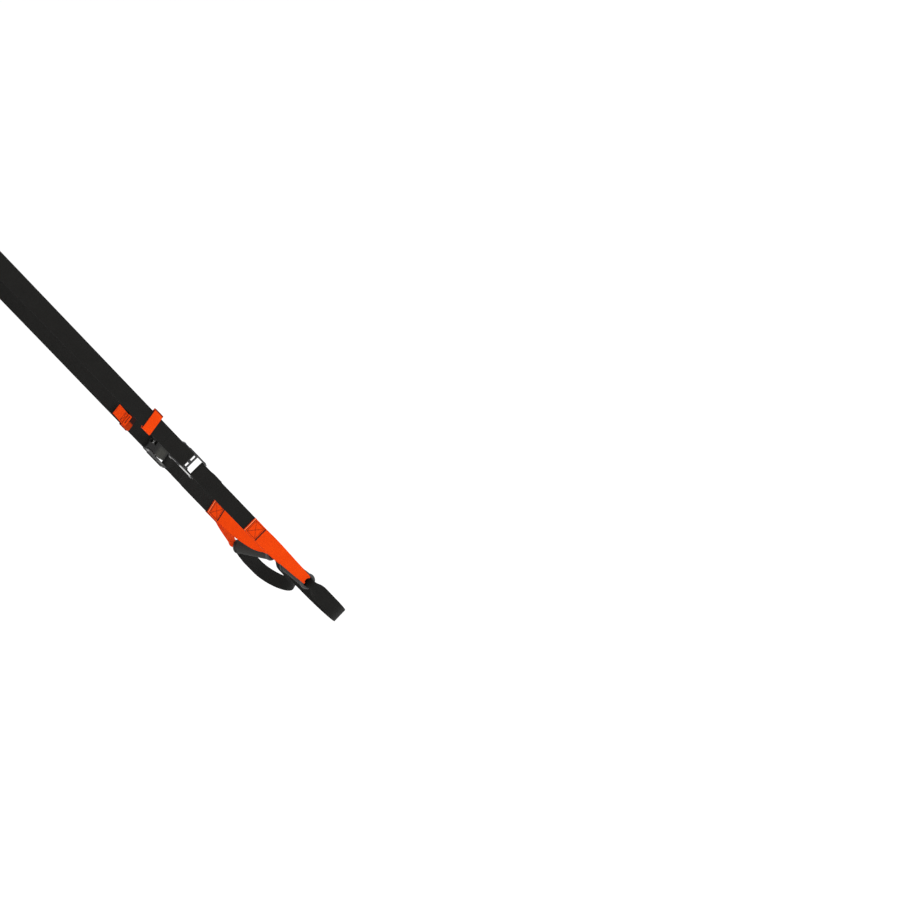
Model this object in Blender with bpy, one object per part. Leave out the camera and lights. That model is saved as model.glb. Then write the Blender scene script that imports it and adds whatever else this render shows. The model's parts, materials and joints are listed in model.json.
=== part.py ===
"""Suspension trainer: two webbing straps with cam buckles, hand grips and foot cradles, on one carabiner.

World frame: metres, +Z up, origin where the carabiner hangs on its anchor.
Each side is modelled in its own side frame and then leaned outward. The side frame has its origin on
the carabiner's bottom bar, +Z up along the strap, +X outward and +Y across the webbing.
"""
import math

import bmesh
import bpy
from mathutils import Matrix, Vector

# Clearances and overruns
SEAT_GAP = 0.0003
RUNNING_GAP = 0.0004
CUT_OVERRUN = 0.004

# Webbing
WEBBING_WIDTH = 0.038
WEBBING_THICKNESS = 0.0024
FOLDED_WIDTH = 0.020
FOLDED_THICKNESS = 0.0048

# How the two sides hang
STRAP_OFFSET = 0.0124
LEAN_ANGLE = math.radians(5.0)
LEFT_TURN = math.radians(20.0)

# Carabiner
ROD_RADIUS = 0.005
EYE_HEIGHT = 0.095
BOTTOM_HALF_WIDTH = 0.0325
BOTTOM_CORNER_RADIUS = 0.0105
TOP_HALF_WIDTH = 0.0225
TOP_CORNER_RADIUS = 0.0175
NOSE_RISE = 0.020
HINGE_DROP = 0.022
GATE_RADIUS = 0.0044
GATE_PIN_RADIUS = 0.0015
GATE_TONGUE_THICKNESS = 0.0036
GATE_TONGUE_RADIUS = 0.0034
NOSE_TONGUE_LENGTH = 0.006
NOSE_TONGUE_HEIGHT = 0.0046
SHOULDER_CLEARANCE = 0.0024
GATE_BORE_RADIUS = 0.0021
GATE_BORE_DEPTH = 0.013
GATE_WIRE_RADIUS = 0.00032
GATE_SPRING_TURNS = 7

# Strap heights, above the top edge of the stitched box
BOX_DROP = 1.000
BUCKLE_RISE = 0.1853
STEP_RISE = 0.1212

# Anchor loop at the top of each strap
LOOP_SEAM_TOP = 0.034
LOOP_SEAM_END = 0.075
FLAT_START = 0.150

# Cam buckle, heights above its lower bar
SHEET_THICKNESS = 0.0022
WING_HALF_WIDTH = 0.0227
WING_FOOT = 0.0015
WING_SHOULDER = 0.0543
WING_CORNER_RADIUS = 0.003
SLOT_SIDE_CLEARANCE = 0.0005
CROSS_STRIP_RISE = 0.0238
CROSS_STRIP_HEIGHT = 0.0042
TONGUE_HALF_WIDTH = 0.0037
GUSSET_WIDTH = 0.0032
WINDOW_RADIUS = 0.0012
CLAMP_EDGE_RISE = 0.0386
FLANGE_THICKNESS = 0.0020
FLANGE_DEPTH = 0.0206
FLANGE_WAIST_DEPTH = 0.0160
FLANGE_TOP = 0.0695
FLANGE_FOOT = 0.0066
FLANGE_EAR_LOW = 0.0540
FLANGE_WAIST_TOP = 0.0390
FLANGE_RADIUS = 0.0055
LOWER_BAR_RADIUS = 0.00275
LOWER_BAR_DEPTH = 0.0058
LOWER_BAR_HEAD_RADIUS = 0.0033
PIN_RADIUS = 0.0024
PIN_RISE = 0.0628
PIN_HEAD_RADIUS = 0.0041
RIVET_HEIGHT = 0.0015

# Cam lever
CAM_RADIUS = 0.0095
CAM_GROWTH_PER_RADIAN = 0.0016
CAM_TOOTH_DEPTH = 0.0008
CAM_TEETH = 8
CAM_LOW_ANGLE = math.radians(-62.0)
CAM_HIGH_ANGLE = math.radians(52.0)
LEVER_LENGTH = 0.0425
LEVER_THICKNESS = 0.0024
LEVER_BACK = 0.0078
LEVER_TIP_REACH = 0.0036
LEVER_SIDE_GAP = 0.0006
LEVER_CHEEK_THICKNESS = 0.0016
LEVER_CHEEK_DEPTH = 0.0050
LEVER_CHEEK_TIP_DEPTH = 0.0040
SPRING_SLOT_HALF_WIDTH = 0.0054
SPRING_SLOT_REACH = 0.0054
SPRING_RADIUS = 0.0036
SPRING_WIRE_RADIUS = 0.0005
SPRING_TURNS = 4
SPRING_LEG = 0.0058

# Adjustment tab
TAB_CLEARANCE = 0.0742
TAB_HEIGHT = 0.0275
TAB_THICKNESS = 0.0017
TAB_SLACK = 0.0041
RIGHT_LOOP_SHIFT = 0.0016
RIGHT_LOOP_SLOPE_SHARE = 0.184
LEFT_LOOP_SHIFT = -0.0037
LEFT_TAB_DROP = 0.021
TAB_CORNER_RADIUS = 0.0022
TAB_INNER_CORNER_SHARE = 0.3
PULL_WIDTH = 0.031
PULL_LENGTH = 0.069
PULL_OVERHANG = 0.0010
PULL_FOLD_DEPTH = 0.0046
PULL_FOLD_LENGTH = 0.026
LEFT_PULL_SHIFT = 0.0025
LEFT_PULL_SKEW = math.radians(3.3)

# Lower strap, box stitch and handle
LOWER_STRAP_SET = 0.0020
LAYER_SPREAD_HEIGHT = 0.020
LAYER_BEND_RADIUS = 0.008
DOUBLED_OVERHANG = 0.0015
BOX_LENGTH = 0.0443
GRIP_DROP = 0.1866
TUBE_HALF_LENGTH = 0.0545
TUBE_THICKNESS = 0.0018
FOAM_THICKNESS = 0.0042
FOAM_EDGE_RADIUS = 0.0024
WEBBING_RUN_RADIUS = 0.0095
WEBBING_RUN_WIDTH = 0.020
WEBBING_BEND_RADIUS = 0.0055
CAP_FLAT = 0.0027
CUP_LENGTH = 0.034
MOUTH_WIDTH = 0.026
MOUTH_LENGTH = 0.012
LEG_SPREAD_LENGTH = 0.120
CRADLE_SPREAD_LENGTH = 0.045
LEG_BEND_RADIUS = 0.030
LEFT_GRIP_SHIFT = -0.011
LEFT_GRIP_SINK = 0.003

# Foot cradle
CRADLE_DEPTH = 0.160

# Resolution
ARC_STEP = math.radians(15.0)
ROD_SIDES = 12
ROUND_SIDES = 32
WIRE_SIDES = 6
COIL_POINTS = 10
BAND_STRIPS = 6
PATH_STEP = 0.012

# Colours, linear RGB
BLACK_WEBBING = (0.016, 0.016, 0.015, 1.0)
ORANGE_WEBBING = (0.90, 0.075, 0.010, 1.0)
STEEL = (0.42, 0.42, 0.40, 1.0)
DARK_STEEL = (0.040, 0.040, 0.040, 1.0)
FOAM_GREY = (0.045, 0.048, 0.045, 1.0)
BLACK_PLASTIC = (0.020, 0.020, 0.020, 1.0)

# Derived places in the side frame
PIVOT_Z = -(EYE_HEIGHT + ROD_RADIUS)
BAR_Z = -BOX_DROP + BUCKLE_RISE
BOX_TOP_Z = -BOX_DROP
BOX_END_Z = BOX_TOP_Z - BOX_LENGTH
GRIP_Z = BOX_TOP_Z - GRIP_DROP
TAB_Z = BAR_Z + FLANGE_TOP + TAB_CLEARANCE + TAB_HEIGHT / 2
STEP_Z = BOX_TOP_Z + STEP_RISE
SLOT_HALF_WIDTH = WEBBING_WIDTH / 2 + SLOT_SIDE_CLEARANCE
CLAMP_X = -SHEET_THICKNESS / 2
CLAMP_Z = BAR_Z + CLAMP_EDGE_RISE
CLAMP_TURN_RADIUS = SHEET_THICKNESS / 2 + SEAT_GAP + WEBBING_THICKNESS / 2
MAIN_X = CLAMP_X + CLAMP_TURN_RADIUS
TAIL_X = CLAMP_X - CLAMP_TURN_RADIUS
TAIL_FACE_X = TAIL_X - WEBBING_THICKNESS / 2
TAIL_START_Z = CLAMP_Z + SEAT_GAP
FLANGE_INNER_Y = WEBBING_WIDTH / 2 + SEAT_GAP * 2
FLANGE_OUTER_Y = FLANGE_INNER_Y + FLANGE_THICKNESS
PIN_Z = BAR_Z + PIN_RISE
BORE_RADIUS = WEBBING_RUN_RADIUS + WEBBING_THICKNESS / 2 + RUNNING_GAP
TUBE_RADIUS = BORE_RADIUS + TUBE_THICKNESS
FOAM_RADIUS = TUBE_RADIUS + SEAT_GAP + FOAM_THICKNESS
CAP_X = TUBE_HALF_LENGTH + SEAT_GAP + CAP_FLAT
RIM_RADIUS = WEBBING_BEND_RADIUS - WEBBING_THICKNESS / 2 - SEAT_GAP
RIM_CENTRE = WEBBING_RUN_RADIUS + WEBBING_BEND_RADIUS


def smooth(share):
    """Smooth step from 0 to 1."""
    share = min(max(share, 0.0), 1.0)
    return share * share * (3 - 2 * share)


def cam_radius(angle):
    """Radius of the cam, which grows towards the side that bites harder."""
    return CAM_RADIUS + CAM_GROWTH_PER_RADIAN * angle


CAM_REACH = max(cam_radius(math.radians(a)) * math.cos(math.radians(a)) for a in range(-60, 60))
PIN_X = TAIL_FACE_X - SEAT_GAP - CAM_REACH


# Materials and objects

def material(name, colour, roughness, metallic=0.0):
    """One Principled material."""
    made = bpy.data.materials.new(name)
    made.use_nodes = True
    shader = made.node_tree.nodes["Principled BSDF"]
    shader.inputs["Base Color"].default_value = colour
    shader.inputs["Roughness"].default_value = roughness
    shader.inputs["Metallic"].default_value = metallic
    return made


def make_object(name, mesh_data, surface, joint, smooth_angle=None):
    """Adds an object whose mesh was written in its joint's parent frame and hangs it on the joint's empty."""
    bmesh.ops.recalc_face_normals(mesh_data, faces=mesh_data.faces[:])
    bmesh.ops.translate(mesh_data, verts=mesh_data.verts[:], vec=-Vector(joint["place"]))
    mesh = bpy.data.meshes.new(name)
    mesh_data.to_mesh(mesh)
    mesh_data.free()
    if smooth_angle is not None:
        mesh.shade_smooth()
        mesh.set_sharp_from_angle(angle=smooth_angle)
    made = bpy.data.objects.new(name, mesh)
    bpy.context.scene.collection.objects.link(made)
    made.parent = joint["empty"]
    if surface:
        mesh.materials.append(surface)
    return made


def make_tool(name, mesh_data, joint):
    """A solid that only cuts or joins another one."""
    tool = make_object(name, mesh_data, None, joint)
    tool.hide_render = True
    tool.display_type = "WIRE"
    return tool


def combine(target, tool, operation):
    """Adds a Boolean modifier."""
    step = target.modifiers.new(tool.name, "BOOLEAN")
    step.operation = operation
    step.solver = "EXACT"
    step.object = tool


def make_joint(name, place, parent=None):
    """An empty on a joint's axis, at a place in the side frame."""
    empty = bpy.data.objects.new(name, None)
    empty.empty_display_size = ROD_RADIUS
    bpy.context.scene.collection.objects.link(empty)
    if parent:
        empty.parent = parent["empty"]
        empty.location = Vector(place) - Vector(parent["place"])
    return {"empty": empty, "place": tuple(place)}


# Paths and solids

def rounded(corners, closed=False, step=ARC_STEP):
    """Points of a path through (a, b, radius) corners, with each corner rounded by its radius."""
    points = []
    count = len(corners)
    for index, (a, b, radius) in enumerate(corners):
        here = Vector((a, b))
        if radius == 0 or (not closed and index in (0, count - 1)):
            points.append(here)
            continue
        before = Vector(corners[index - 1][:2]) - here
        after = Vector(corners[(index + 1) % count][:2]) - here
        before.normalize()
        after.normalize()
        half = before.angle(after) / 2
        centre = here + (before + after).normalized() * radius / math.sin(half)
        start = here + before * radius / math.tan(half) - centre
        sweep = math.pi - 2 * half
        turn = 1.0 if before.cross(after) < 0 else -1.0
        pieces = max(1, math.ceil(sweep / step - 0.01))
        for piece in range(pieces + 1):
            angle = turn * sweep * piece / pieces
            points.append(centre + Matrix.Rotation(angle, 2) @ start)
    apart = [points[0]]
    for point in points[1:]:
        if (point - apart[-1]).length > SEAT_GAP / 10:
            apart.append(point)
    return apart


def spaced(points, step, closed=False):
    """Adds points so that none are further apart than a step."""
    result = []
    count = len(points)
    for index in range(count if closed else count - 1):
        first = points[index]
        second = points[(index + 1) % count]
        pieces = max(1, math.ceil((second - first).length / step))
        result += [first.lerp(second, piece / pieces) for piece in range(pieces)]
    if not closed:
        result.append(points[-1])
    return result


def lengths_along(points):
    """Distance of each point from the first, along the path."""
    total = 0.0
    result = [0.0]
    for first, second in zip(points, points[1:]):
        total += (second - first).length
        result.append(total)
    return result


def band(points, shape, closed=False, strips=1):
    """A webbing band along a path of (x, z) points.

    shape(length, point) gives its width, thickness, cup from 0 (flat) to 1 (rolled to the
    grip's bore) and turn about the strap's axis.
    """
    made = bmesh.new()
    rings = []
    count = len(points)
    for index, (point, length) in enumerate(zip(points, lengths_along(points))):
        before = points[index - 1] if closed or index else point
        after = points[(index + 1) % count] if closed or index < count - 1 else point
        along = (after - before).normalized()
        out = Vector((along.y, -along.x))
        width, thickness, cup, turn = shape(length, point)
        spin = Matrix.Rotation(turn, 3, "Z")
        ring = []
        for side in (1, -1):
            for strip in range(strips + 1) if side > 0 else range(strips, -1, -1):
                across = (strip / strips - 0.5) * width
                angle = across * cup / WEBBING_RUN_RADIUS
                y = across if cup == 0 else math.sin(angle) * WEBBING_RUN_RADIUS / cup
                rise = 0.0 if cup == 0 else (math.cos(angle) - 1) * WEBBING_RUN_RADIUS / cup
                y += side * thickness / 2 * math.sin(angle)
                rise += side * thickness / 2 * math.cos(angle)
                place = Vector((point.x + out.x * rise, y, point.y + out.y * rise))
                ring.append(made.verts.new(spin @ place))
        rings.append(ring)
    size = len(rings[0])
    for index in range(count if closed else count - 1):
        ring, following = rings[index], rings[(index + 1) % count]
        for corner in range(size):
            after = (corner + 1) % size
            made.faces.new((ring[corner], ring[after], following[after], following[corner]))
    if not closed:
        made.faces.new(rings[0])
        made.faces.new(rings[-1])
    return made


def prism(outline, axis, start, end):
    """A solid with a flat outline, from start to end along X, Y or Z."""
    made = bmesh.new()
    rings = []
    for level in (start, end):
        ring = []
        for a, b in outline:
            place = {"X": (level, a, b), "Y": (a, level, b), "Z": (a, b, level)}[axis]
            ring.append(made.verts.new(place))
        rings.append(ring)
    count = len(outline)
    for index in range(count):
        after = (index + 1) % count
        made.faces.new((rings[0][index], rings[0][after], rings[1][after], rings[1][index]))
    made.faces.new(rings[0])
    made.faces.new(rings[1])
    return made


def turned(profile, centre, axis, sides=ROUND_SIDES, ring_shaped=False):
    """A turned solid. The profile gives (along, radius) points, and a ring's profile is closed."""
    made = bmesh.new()
    basis = {"X": ((1, 0, 0), (0, 1, 0), (0, 0, 1)), "Y": ((0, 1, 0), (0, 0, 1), (1, 0, 0))}[axis]
    main, first, second = (Vector(v) for v in basis)
    rings = []
    for along, radius in profile:
        ring = []
        for side in range(sides):
            angle = 2 * math.pi * side / sides
            spoke = first * math.cos(angle) + second * math.sin(angle)
            ring.append(made.verts.new(Vector(centre) + main * along + spoke * radius))
        rings.append(ring)
    count = len(profile)
    for index in range(count if ring_shaped else count - 1):
        ring, following = rings[index], rings[(index + 1) % count]
        for side in range(sides):
            after = (side + 1) % sides
            made.faces.new((ring[side], ring[after], following[after], following[side]))
    if not ring_shaped:
        made.faces.new(rings[0])
        made.faces.new(rings[-1])
    return made


def swept(points, radius, sides):
    """A round rod along points in space."""
    made = bmesh.new()
    rings = []
    tangent = (points[1] - points[0]).normalized()
    side_way = tangent.orthogonal().normalized()
    for index, point in enumerate(points):
        before = points[max(index - 1, 0)]
        after = points[min(index + 1, len(points) - 1)]
        new_tangent = (after - before).normalized()
        side_way = tangent.rotation_difference(new_tangent) @ side_way
        tangent = new_tangent
        other = tangent.cross(side_way)
        ring = []
        for side in range(sides):
            angle = 2 * math.pi * side / sides
            ring.append(made.verts.new(point + (side_way * math.cos(angle) + other * math.sin(angle)) * radius))
        rings.append(ring)
    for ring, following in zip(rings, rings[1:]):
        for side in range(sides):
            after = (side + 1) % sides
            made.faces.new((ring[side], ring[after], following[after], following[side]))
    made.faces.new(rings[0])
    made.faces.new(rings[-1])
    return made


def coil_gap(radius, turns, length, wire_radius):
    """Least gap between neighbouring turns of a helix."""
    pitch = length / turns
    lead = math.atan(pitch / (2 * math.pi * radius))
    return pitch * math.cos(lead) - 2 * wire_radius


# Carabiner

def carabiner_points():
    """Hinge and nose of the gate, as (y, z) points."""
    bottom = Vector((BOTTOM_HALF_WIDTH, PIVOT_Z))
    top = Vector((TOP_HALF_WIDTH, ROD_RADIUS))
    side = (top - bottom).normalized()
    hinge = top - side * (HINGE_DROP + ROD_RADIUS) / side.y
    nose = bottom + side * NOSE_RISE / side.y
    return hinge, nose, side


def make_carabiner(steel, dark):
    """Pear-shaped carabiner with a sprung gate on its +Y side."""
    hinge, nose, side = carabiner_points()
    body = make_joint("carabiner", (0, 0, 0))
    gate = make_joint("carabiner_gate", (0, hinge.x, hinge.y), body)
    rod_end = hinge + side * (GATE_RADIUS + SHOULDER_CLEARANCE)
    corners = [
        (nose.x, nose.y, 0),
        (BOTTOM_HALF_WIDTH, PIVOT_Z, BOTTOM_CORNER_RADIUS),
        (-BOTTOM_HALF_WIDTH, PIVOT_Z, BOTTOM_CORNER_RADIUS),
        (-TOP_HALF_WIDTH, ROD_RADIUS, TOP_CORNER_RADIUS),
        (TOP_HALF_WIDTH, ROD_RADIUS, TOP_CORNER_RADIUS),
        (rod_end.x, rod_end.y, 0),
    ]
    route = [Vector((0, point.x, point.y)) for point in rounded(corners)]
    rod = make_object("carabiner_body", swept(route, ROD_RADIUS, ROD_SIDES), steel, body, math.radians(40))

    half = GATE_TONGUE_THICKNESS / 2
    across = Vector((-side.y, side.x))
    into_rod = rod_end + side * ROD_RADIUS
    tongue = [into_rod + across * GATE_TONGUE_RADIUS]
    for step in range(9):
        angle = math.pi * step / 8
        tongue.append(hinge + (across * math.cos(angle) - side * math.sin(angle)) * GATE_TONGUE_RADIUS)
    tongue.append(into_rod - across * GATE_TONGUE_RADIUS)
    outline = [(point.x, point.y) for point in tongue]
    combine(rod, make_tool("hinge_tongue_tool", prism(outline, "X", -half, half), body), "UNION")

    nose_half = NOSE_TONGUE_HEIGHT / 2
    start = nose - side * ROD_RADIUS
    end = nose + side * NOSE_TONGUE_LENGTH
    outline = [start - across * nose_half, start + across * nose_half,
               end + across * nose_half, end - across * nose_half]
    outline = [(point.x, point.y) for point in outline]
    combine(rod, make_tool("nose_tongue_tool", prism(outline, "X", -half, half), body), "UNION")

    overrun = GATE_RADIUS + CUT_OVERRUN
    hole = GATE_PIN_RADIUS + SEAT_GAP
    hinge_place = (0, hinge.x, hinge.y)
    profile = [(-overrun, hole), (overrun, hole)]
    combine(rod, make_tool("body_pin_hole_tool", turned(profile, hinge_place, "X", 16), body), "DIFFERENCE")

    gate_end = nose + side * SEAT_GAP
    gate_top = hinge + side * GATE_RADIUS
    bar = [Vector((0, point.x, point.y)) for point in (gate_end, gate_top)]
    arm = make_object("carabiner_gate_bar", swept(bar, GATE_RADIUS, 20), steel, gate, math.radians(40))
    slot = half + RUNNING_GAP
    fork_depth = GATE_TONGUE_RADIUS + RUNNING_GAP
    fork = [hinge - side * fork_depth - across * overrun, hinge - side * fork_depth + across * overrun,
            hinge + side * overrun + across * overrun, hinge + side * overrun - across * overrun]
    outline = [(point.x, point.y) for point in fork]
    combine(arm, make_tool("gate_fork_tool", prism(outline, "X", -slot, slot), gate), "DIFFERENCE")
    notch_top = nose + side * (NOSE_TONGUE_LENGTH + RUNNING_GAP)
    notch_low = nose - side * CUT_OVERRUN
    notch = [notch_low - across * overrun, notch_low + across * overrun,
             notch_top + across * overrun, notch_top - across * overrun]
    outline = [(point.x, point.y) for point in notch]
    combine(arm, make_tool("gate_notch_tool", prism(outline, "X", -slot, slot), gate), "DIFFERENCE")
    combine(arm, make_tool("gate_pin_hole_tool", turned(profile, hinge_place, "X", 16), gate), "DIFFERENCE")
    bore_end = hinge - side * (fork_depth + GATE_BORE_DEPTH)
    bore = [Vector((0, point.x, point.y)) for point in (hinge, bore_end)]
    combine(arm, make_tool("gate_bore_tool", swept(bore, GATE_BORE_RADIUS, 16), gate), "DIFFERENCE")

    pin_half = GATE_RADIUS - SEAT_GAP
    profile = [(-pin_half, GATE_PIN_RADIUS), (pin_half, GATE_PIN_RADIUS)]
    make_object("gate_pin", turned(profile, hinge_place, "X", 16), dark, body, math.radians(40))

    coil_radius = GATE_BORE_RADIUS - GATE_WIRE_RADIUS - SEAT_GAP
    first = fork_depth + GATE_WIRE_RADIUS
    length = GATE_BORE_DEPTH - 2 * GATE_WIRE_RADIUS - SEAT_GAP
    points = []
    for step in range(GATE_SPRING_TURNS * COIL_POINTS + 1):
        share = step / (GATE_SPRING_TURNS * COIL_POINTS)
        angle = 2 * math.pi * GATE_SPRING_TURNS * share
        centre = hinge - side * (first + length * share)
        ring = across * math.cos(angle) * coil_radius
        points.append(Vector((math.sin(angle) * coil_radius, centre.x + ring.x, centre.y + ring.y)))
    make_object("gate_spring", swept(points, GATE_WIRE_RADIUS, WIRE_SIDES), steel, gate, math.radians(50))
    print("gate spring gap", round(coil_gap(coil_radius, GATE_SPRING_TURNS, length, GATE_WIRE_RADIUS), 5))
    return body


# One side

def make_main_strap(name, surface, joint, loop_turn):
    """Webbing from its loop on the carabiner down to the turn round the buckle's clamp edge."""
    turn_radius = ROD_RADIUS + RUNNING_GAP + FOLDED_THICKNESS / 2
    seam_x = FOLDED_THICKNESS / 2 + SEAT_GAP / 2
    corners = [
        (-seam_x, -LOOP_SEAM_END, 0),
        (-seam_x, -LOOP_SEAM_TOP, LOOP_SEAM_TOP),
        (-turn_radius, -turn_radius, turn_radius),
        (-turn_radius, turn_radius, turn_radius),
        (turn_radius, turn_radius, turn_radius),
        (turn_radius, -turn_radius, turn_radius),
        (seam_x, -LOOP_SEAM_TOP, LOOP_SEAM_TOP),
        (seam_x, -LOOP_SEAM_END, 0),
        (MAIN_X, -FLAT_START, 0),
        (MAIN_X, CLAMP_Z - CLAMP_TURN_RADIUS, CLAMP_TURN_RADIUS),
        (TAIL_X, CLAMP_Z - CLAMP_TURN_RADIUS, CLAMP_TURN_RADIUS),
        (TAIL_X, CLAMP_Z, 0),
    ]
    points = rounded(corners)
    folded = [point for point in points if point.y > -LOOP_SEAM_END - SEAT_GAP]
    rest = points[len(folded):]
    change = spaced([folded[-1], rest[0]], (FLAT_START - LOOP_SEAM_END) / 10)
    points = folded + change[1:] + rest[1:]

    def shape(length, point):
        opened = smooth((-point.y - LOOP_SEAM_END) / (FLAT_START - LOOP_SEAM_END))
        width = FOLDED_WIDTH + (WEBBING_WIDTH - FOLDED_WIDTH) * opened
        thickness = FOLDED_THICKNESS + (WEBBING_THICKNESS - FOLDED_THICKNESS) * opened
        return width, thickness, 0.0, loop_turn * (1 - opened)

    return make_object(name, band(points, shape), surface, joint, math.radians(30))


def flat_webbing(length, point):
    """Cross-section of plain webbing."""
    return WEBBING_WIDTH, WEBBING_THICKNESS, 0.0, 0.0


def make_tail(name, surface, joint, tab_z):
    """Free end of the main strap, from the cam up into the adjustment tab."""
    points = [Vector((TAIL_X, TAIL_START_Z)), Vector((TAIL_X, tab_z + TAB_HEIGHT / 2))]
    return make_object(name, band(points, flat_webbing), surface, joint)


def make_tab(prefix, surface, joint, tab_z, loop_shift, loop_slope, pull_shift, pull_skew):
    """Slack orange keeper loop round both layers of strap, and the folded pull sewn to its inner face."""
    front = MAIN_X + WEBBING_THICKNESS / 2 + RUNNING_GAP
    back = TAIL_FACE_X - RUNNING_GAP
    half = WEBBING_WIDTH / 2 + TAB_SLACK

    def frame_outline(grow):
        radius = TAB_CORNER_RADIUS * (TAB_INNER_CORNER_SHARE if grow == 0 else 1.0)
        corners = [(back - grow, -half - grow, radius), (front + grow, -half - grow, radius),
                   (front + grow, half + grow, radius), (back - grow, half + grow, radius)]
        return rounded(corners, closed=True, step=math.radians(30))

    made = bmesh.new()
    loops = []
    for level in (tab_z - TAB_HEIGHT / 2, tab_z + TAB_HEIGHT / 2):
        for grow in (0, TAB_THICKNESS):
            loops.append([made.verts.new((p.x, p.y + loop_shift, level + p.y * loop_slope))
                          for p in frame_outline(grow)])
    inner_low, outer_low, inner_high, outer_high = loops
    count = len(inner_low)
    for index in range(count):
        after = (index + 1) % count
        made.faces.new((inner_low[index], inner_low[after], inner_high[after], inner_high[index]))
        made.faces.new((outer_low[index], outer_low[after], outer_high[after], outer_high[index]))
        made.faces.new((inner_low[index], inner_low[after], outer_low[after], outer_low[index]))
        made.faces.new((inner_high[index], inner_high[after], outer_high[after], outer_high[index]))
    make_object(prefix + "tab_loop", made, surface, joint, math.radians(40))

    seat = back - TAB_THICKNESS - SEAT_GAP - TAB_THICKNESS / 2
    fold = seat - PULL_FOLD_DEPTH
    low = tab_z - TAB_HEIGHT / 2 - PULL_OVERHANG
    corners = [
        (seat, low + PULL_LENGTH, 0),
        (seat, low, PULL_FOLD_DEPTH / 2 * 0.98),
        (fold, low, PULL_FOLD_DEPTH / 2 * 0.98),
        (fold, low + PULL_FOLD_LENGTH / 2, PULL_FOLD_LENGTH / 2),
        (seat - TAB_THICKNESS - SEAT_GAP, low + PULL_FOLD_LENGTH, 0),
    ]

    def shape(length, point):
        return PULL_WIDTH, TAB_THICKNESS, 0.0, 0.0

    pull = band(rounded(corners), shape)
    tilt = Matrix.Rotation(pull_skew, 4, "X")
    middle = low + PULL_LENGTH / 2
    pull.transform(Matrix.Translation((0, pull_shift, middle)) @ tilt @ Matrix.Translation((0, 0, -middle)))
    make_object(prefix + "tab_pull", pull, surface, joint, math.radians(30))


def make_frame(name, surface, joint):
    """Stamped buckle frame: clamp panel, side wings with a cross strip and tongue, and two flanges."""
    foot, shoulder = BAR_Z - WING_FOOT, BAR_Z + WING_SHOULDER
    strip_low = BAR_Z + CROSS_STRIP_RISE
    strip_high = strip_low + CROSS_STRIP_HEIGHT
    tongue_top = CLAMP_Z - CLAMP_TURN_RADIUS - WEBBING_THICKNESS / 2 - SEAT_GAP
    round_off = WING_CORNER_RADIUS
    small = SHEET_THICKNESS / 4
    window_side = SLOT_HALF_WIDTH - GUSSET_WIDTH
    right_half = [
        (SLOT_HALF_WIDTH, foot, small),
        (WING_HALF_WIDTH, foot, small),
        (WING_HALF_WIDTH, shoulder, round_off),
        (SLOT_HALF_WIDTH, shoulder, 0),
        (SLOT_HALF_WIDTH, tongue_top, 0),
        (window_side, tongue_top, small),
        (window_side, strip_high, WINDOW_RADIUS),
        (TONGUE_HALF_WIDTH, strip_high, small),
        (TONGUE_HALF_WIDTH, tongue_top, small),
    ]
    left_half = [(-y, z, radius) for y, z, radius in reversed(right_half)]
    lower = [(-SLOT_HALF_WIDTH, strip_low, small), (SLOT_HALF_WIDTH, strip_low, small)]
    outline = rounded(right_half + left_half + lower, closed=True, step=math.radians(30))
    sheet = prism([(p.x, p.y) for p in outline], "X", -SHEET_THICKNESS, 0)
    frame = make_object(name, sheet, surface, joint, math.radians(30))

    top = BAR_Z + FLANGE_TOP
    near_edge = SHEET_THICKNESS / 2 * 0.98
    panel = rounded([(0, CLAMP_Z - SHEET_THICKNESS / 2, near_edge), (0, top - FLANGE_RADIUS, near_edge),
                     (-SHEET_THICKNESS, top - FLANGE_RADIUS, near_edge),
                     (-SHEET_THICKNESS, CLAMP_Z - SHEET_THICKNESS / 2, near_edge)], closed=True)
    reach = FLANGE_INNER_Y + FLANGE_THICKNESS / 2
    tool = make_tool(name + "_panel_tool", prism([(p.x, p.y) for p in panel], "Y", -reach, reach), joint)
    combine(frame, tool, "UNION")

    lobe = BAR_Z - FLANGE_FOOT
    corners = [
        (-SHEET_THICKNESS / 8, lobe, WING_CORNER_RADIUS),
        (-SHEET_THICKNESS / 8, top, WING_CORNER_RADIUS),
        (-FLANGE_DEPTH, top, FLANGE_RADIUS),
        (-FLANGE_DEPTH, BAR_Z + FLANGE_EAR_LOW, FLANGE_RADIUS),
        (-FLANGE_WAIST_DEPTH, BAR_Z + FLANGE_WAIST_TOP, FLANGE_RADIUS),
        (-FLANGE_WAIST_DEPTH, lobe, WING_CORNER_RADIUS),
    ]
    side_plate = [(p.x, p.y) for p in rounded(corners, closed=True)]
    for label, start, end in (("a", FLANGE_INNER_Y, FLANGE_OUTER_Y), ("b", -FLANGE_OUTER_Y, -FLANGE_INNER_Y)):
        tool = make_tool(name + "_flange_tool_" + label, prism(side_plate, "Y", start, end), joint)
        combine(frame, tool, "UNION")
    reach = FLANGE_OUTER_Y + CUT_OVERRUN
    for label, x, z, radius in (("pin", PIN_X, PIN_Z, PIN_RADIUS), ("bar", -LOWER_BAR_DEPTH, BAR_Z, LOWER_BAR_RADIUS)):
        hole = radius + SEAT_GAP
        tool = make_tool(name + "_" + label + "_hole_tool",
                         turned([(-reach, hole), (reach, hole)], (x, 0, z), "Y", 20), joint)
        combine(frame, tool, "DIFFERENCE")
    return frame


def make_rivet(name, place, radius, head_radius, surface, joint):
    """Cross pin with a low domed head outside each flange."""
    face = FLANGE_OUTER_Y + SEAT_GAP
    dome = face + RIVET_HEIGHT
    profile = [(face, radius), (face, head_radius), (dome - RIVET_HEIGHT / 2, head_radius),
               (dome, head_radius * 0.62)]
    profile = [(-along, size) for along, size in reversed(profile)] + profile
    return make_object(name, turned(profile, place, "Y", 20), surface, joint, math.radians(40))


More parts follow.
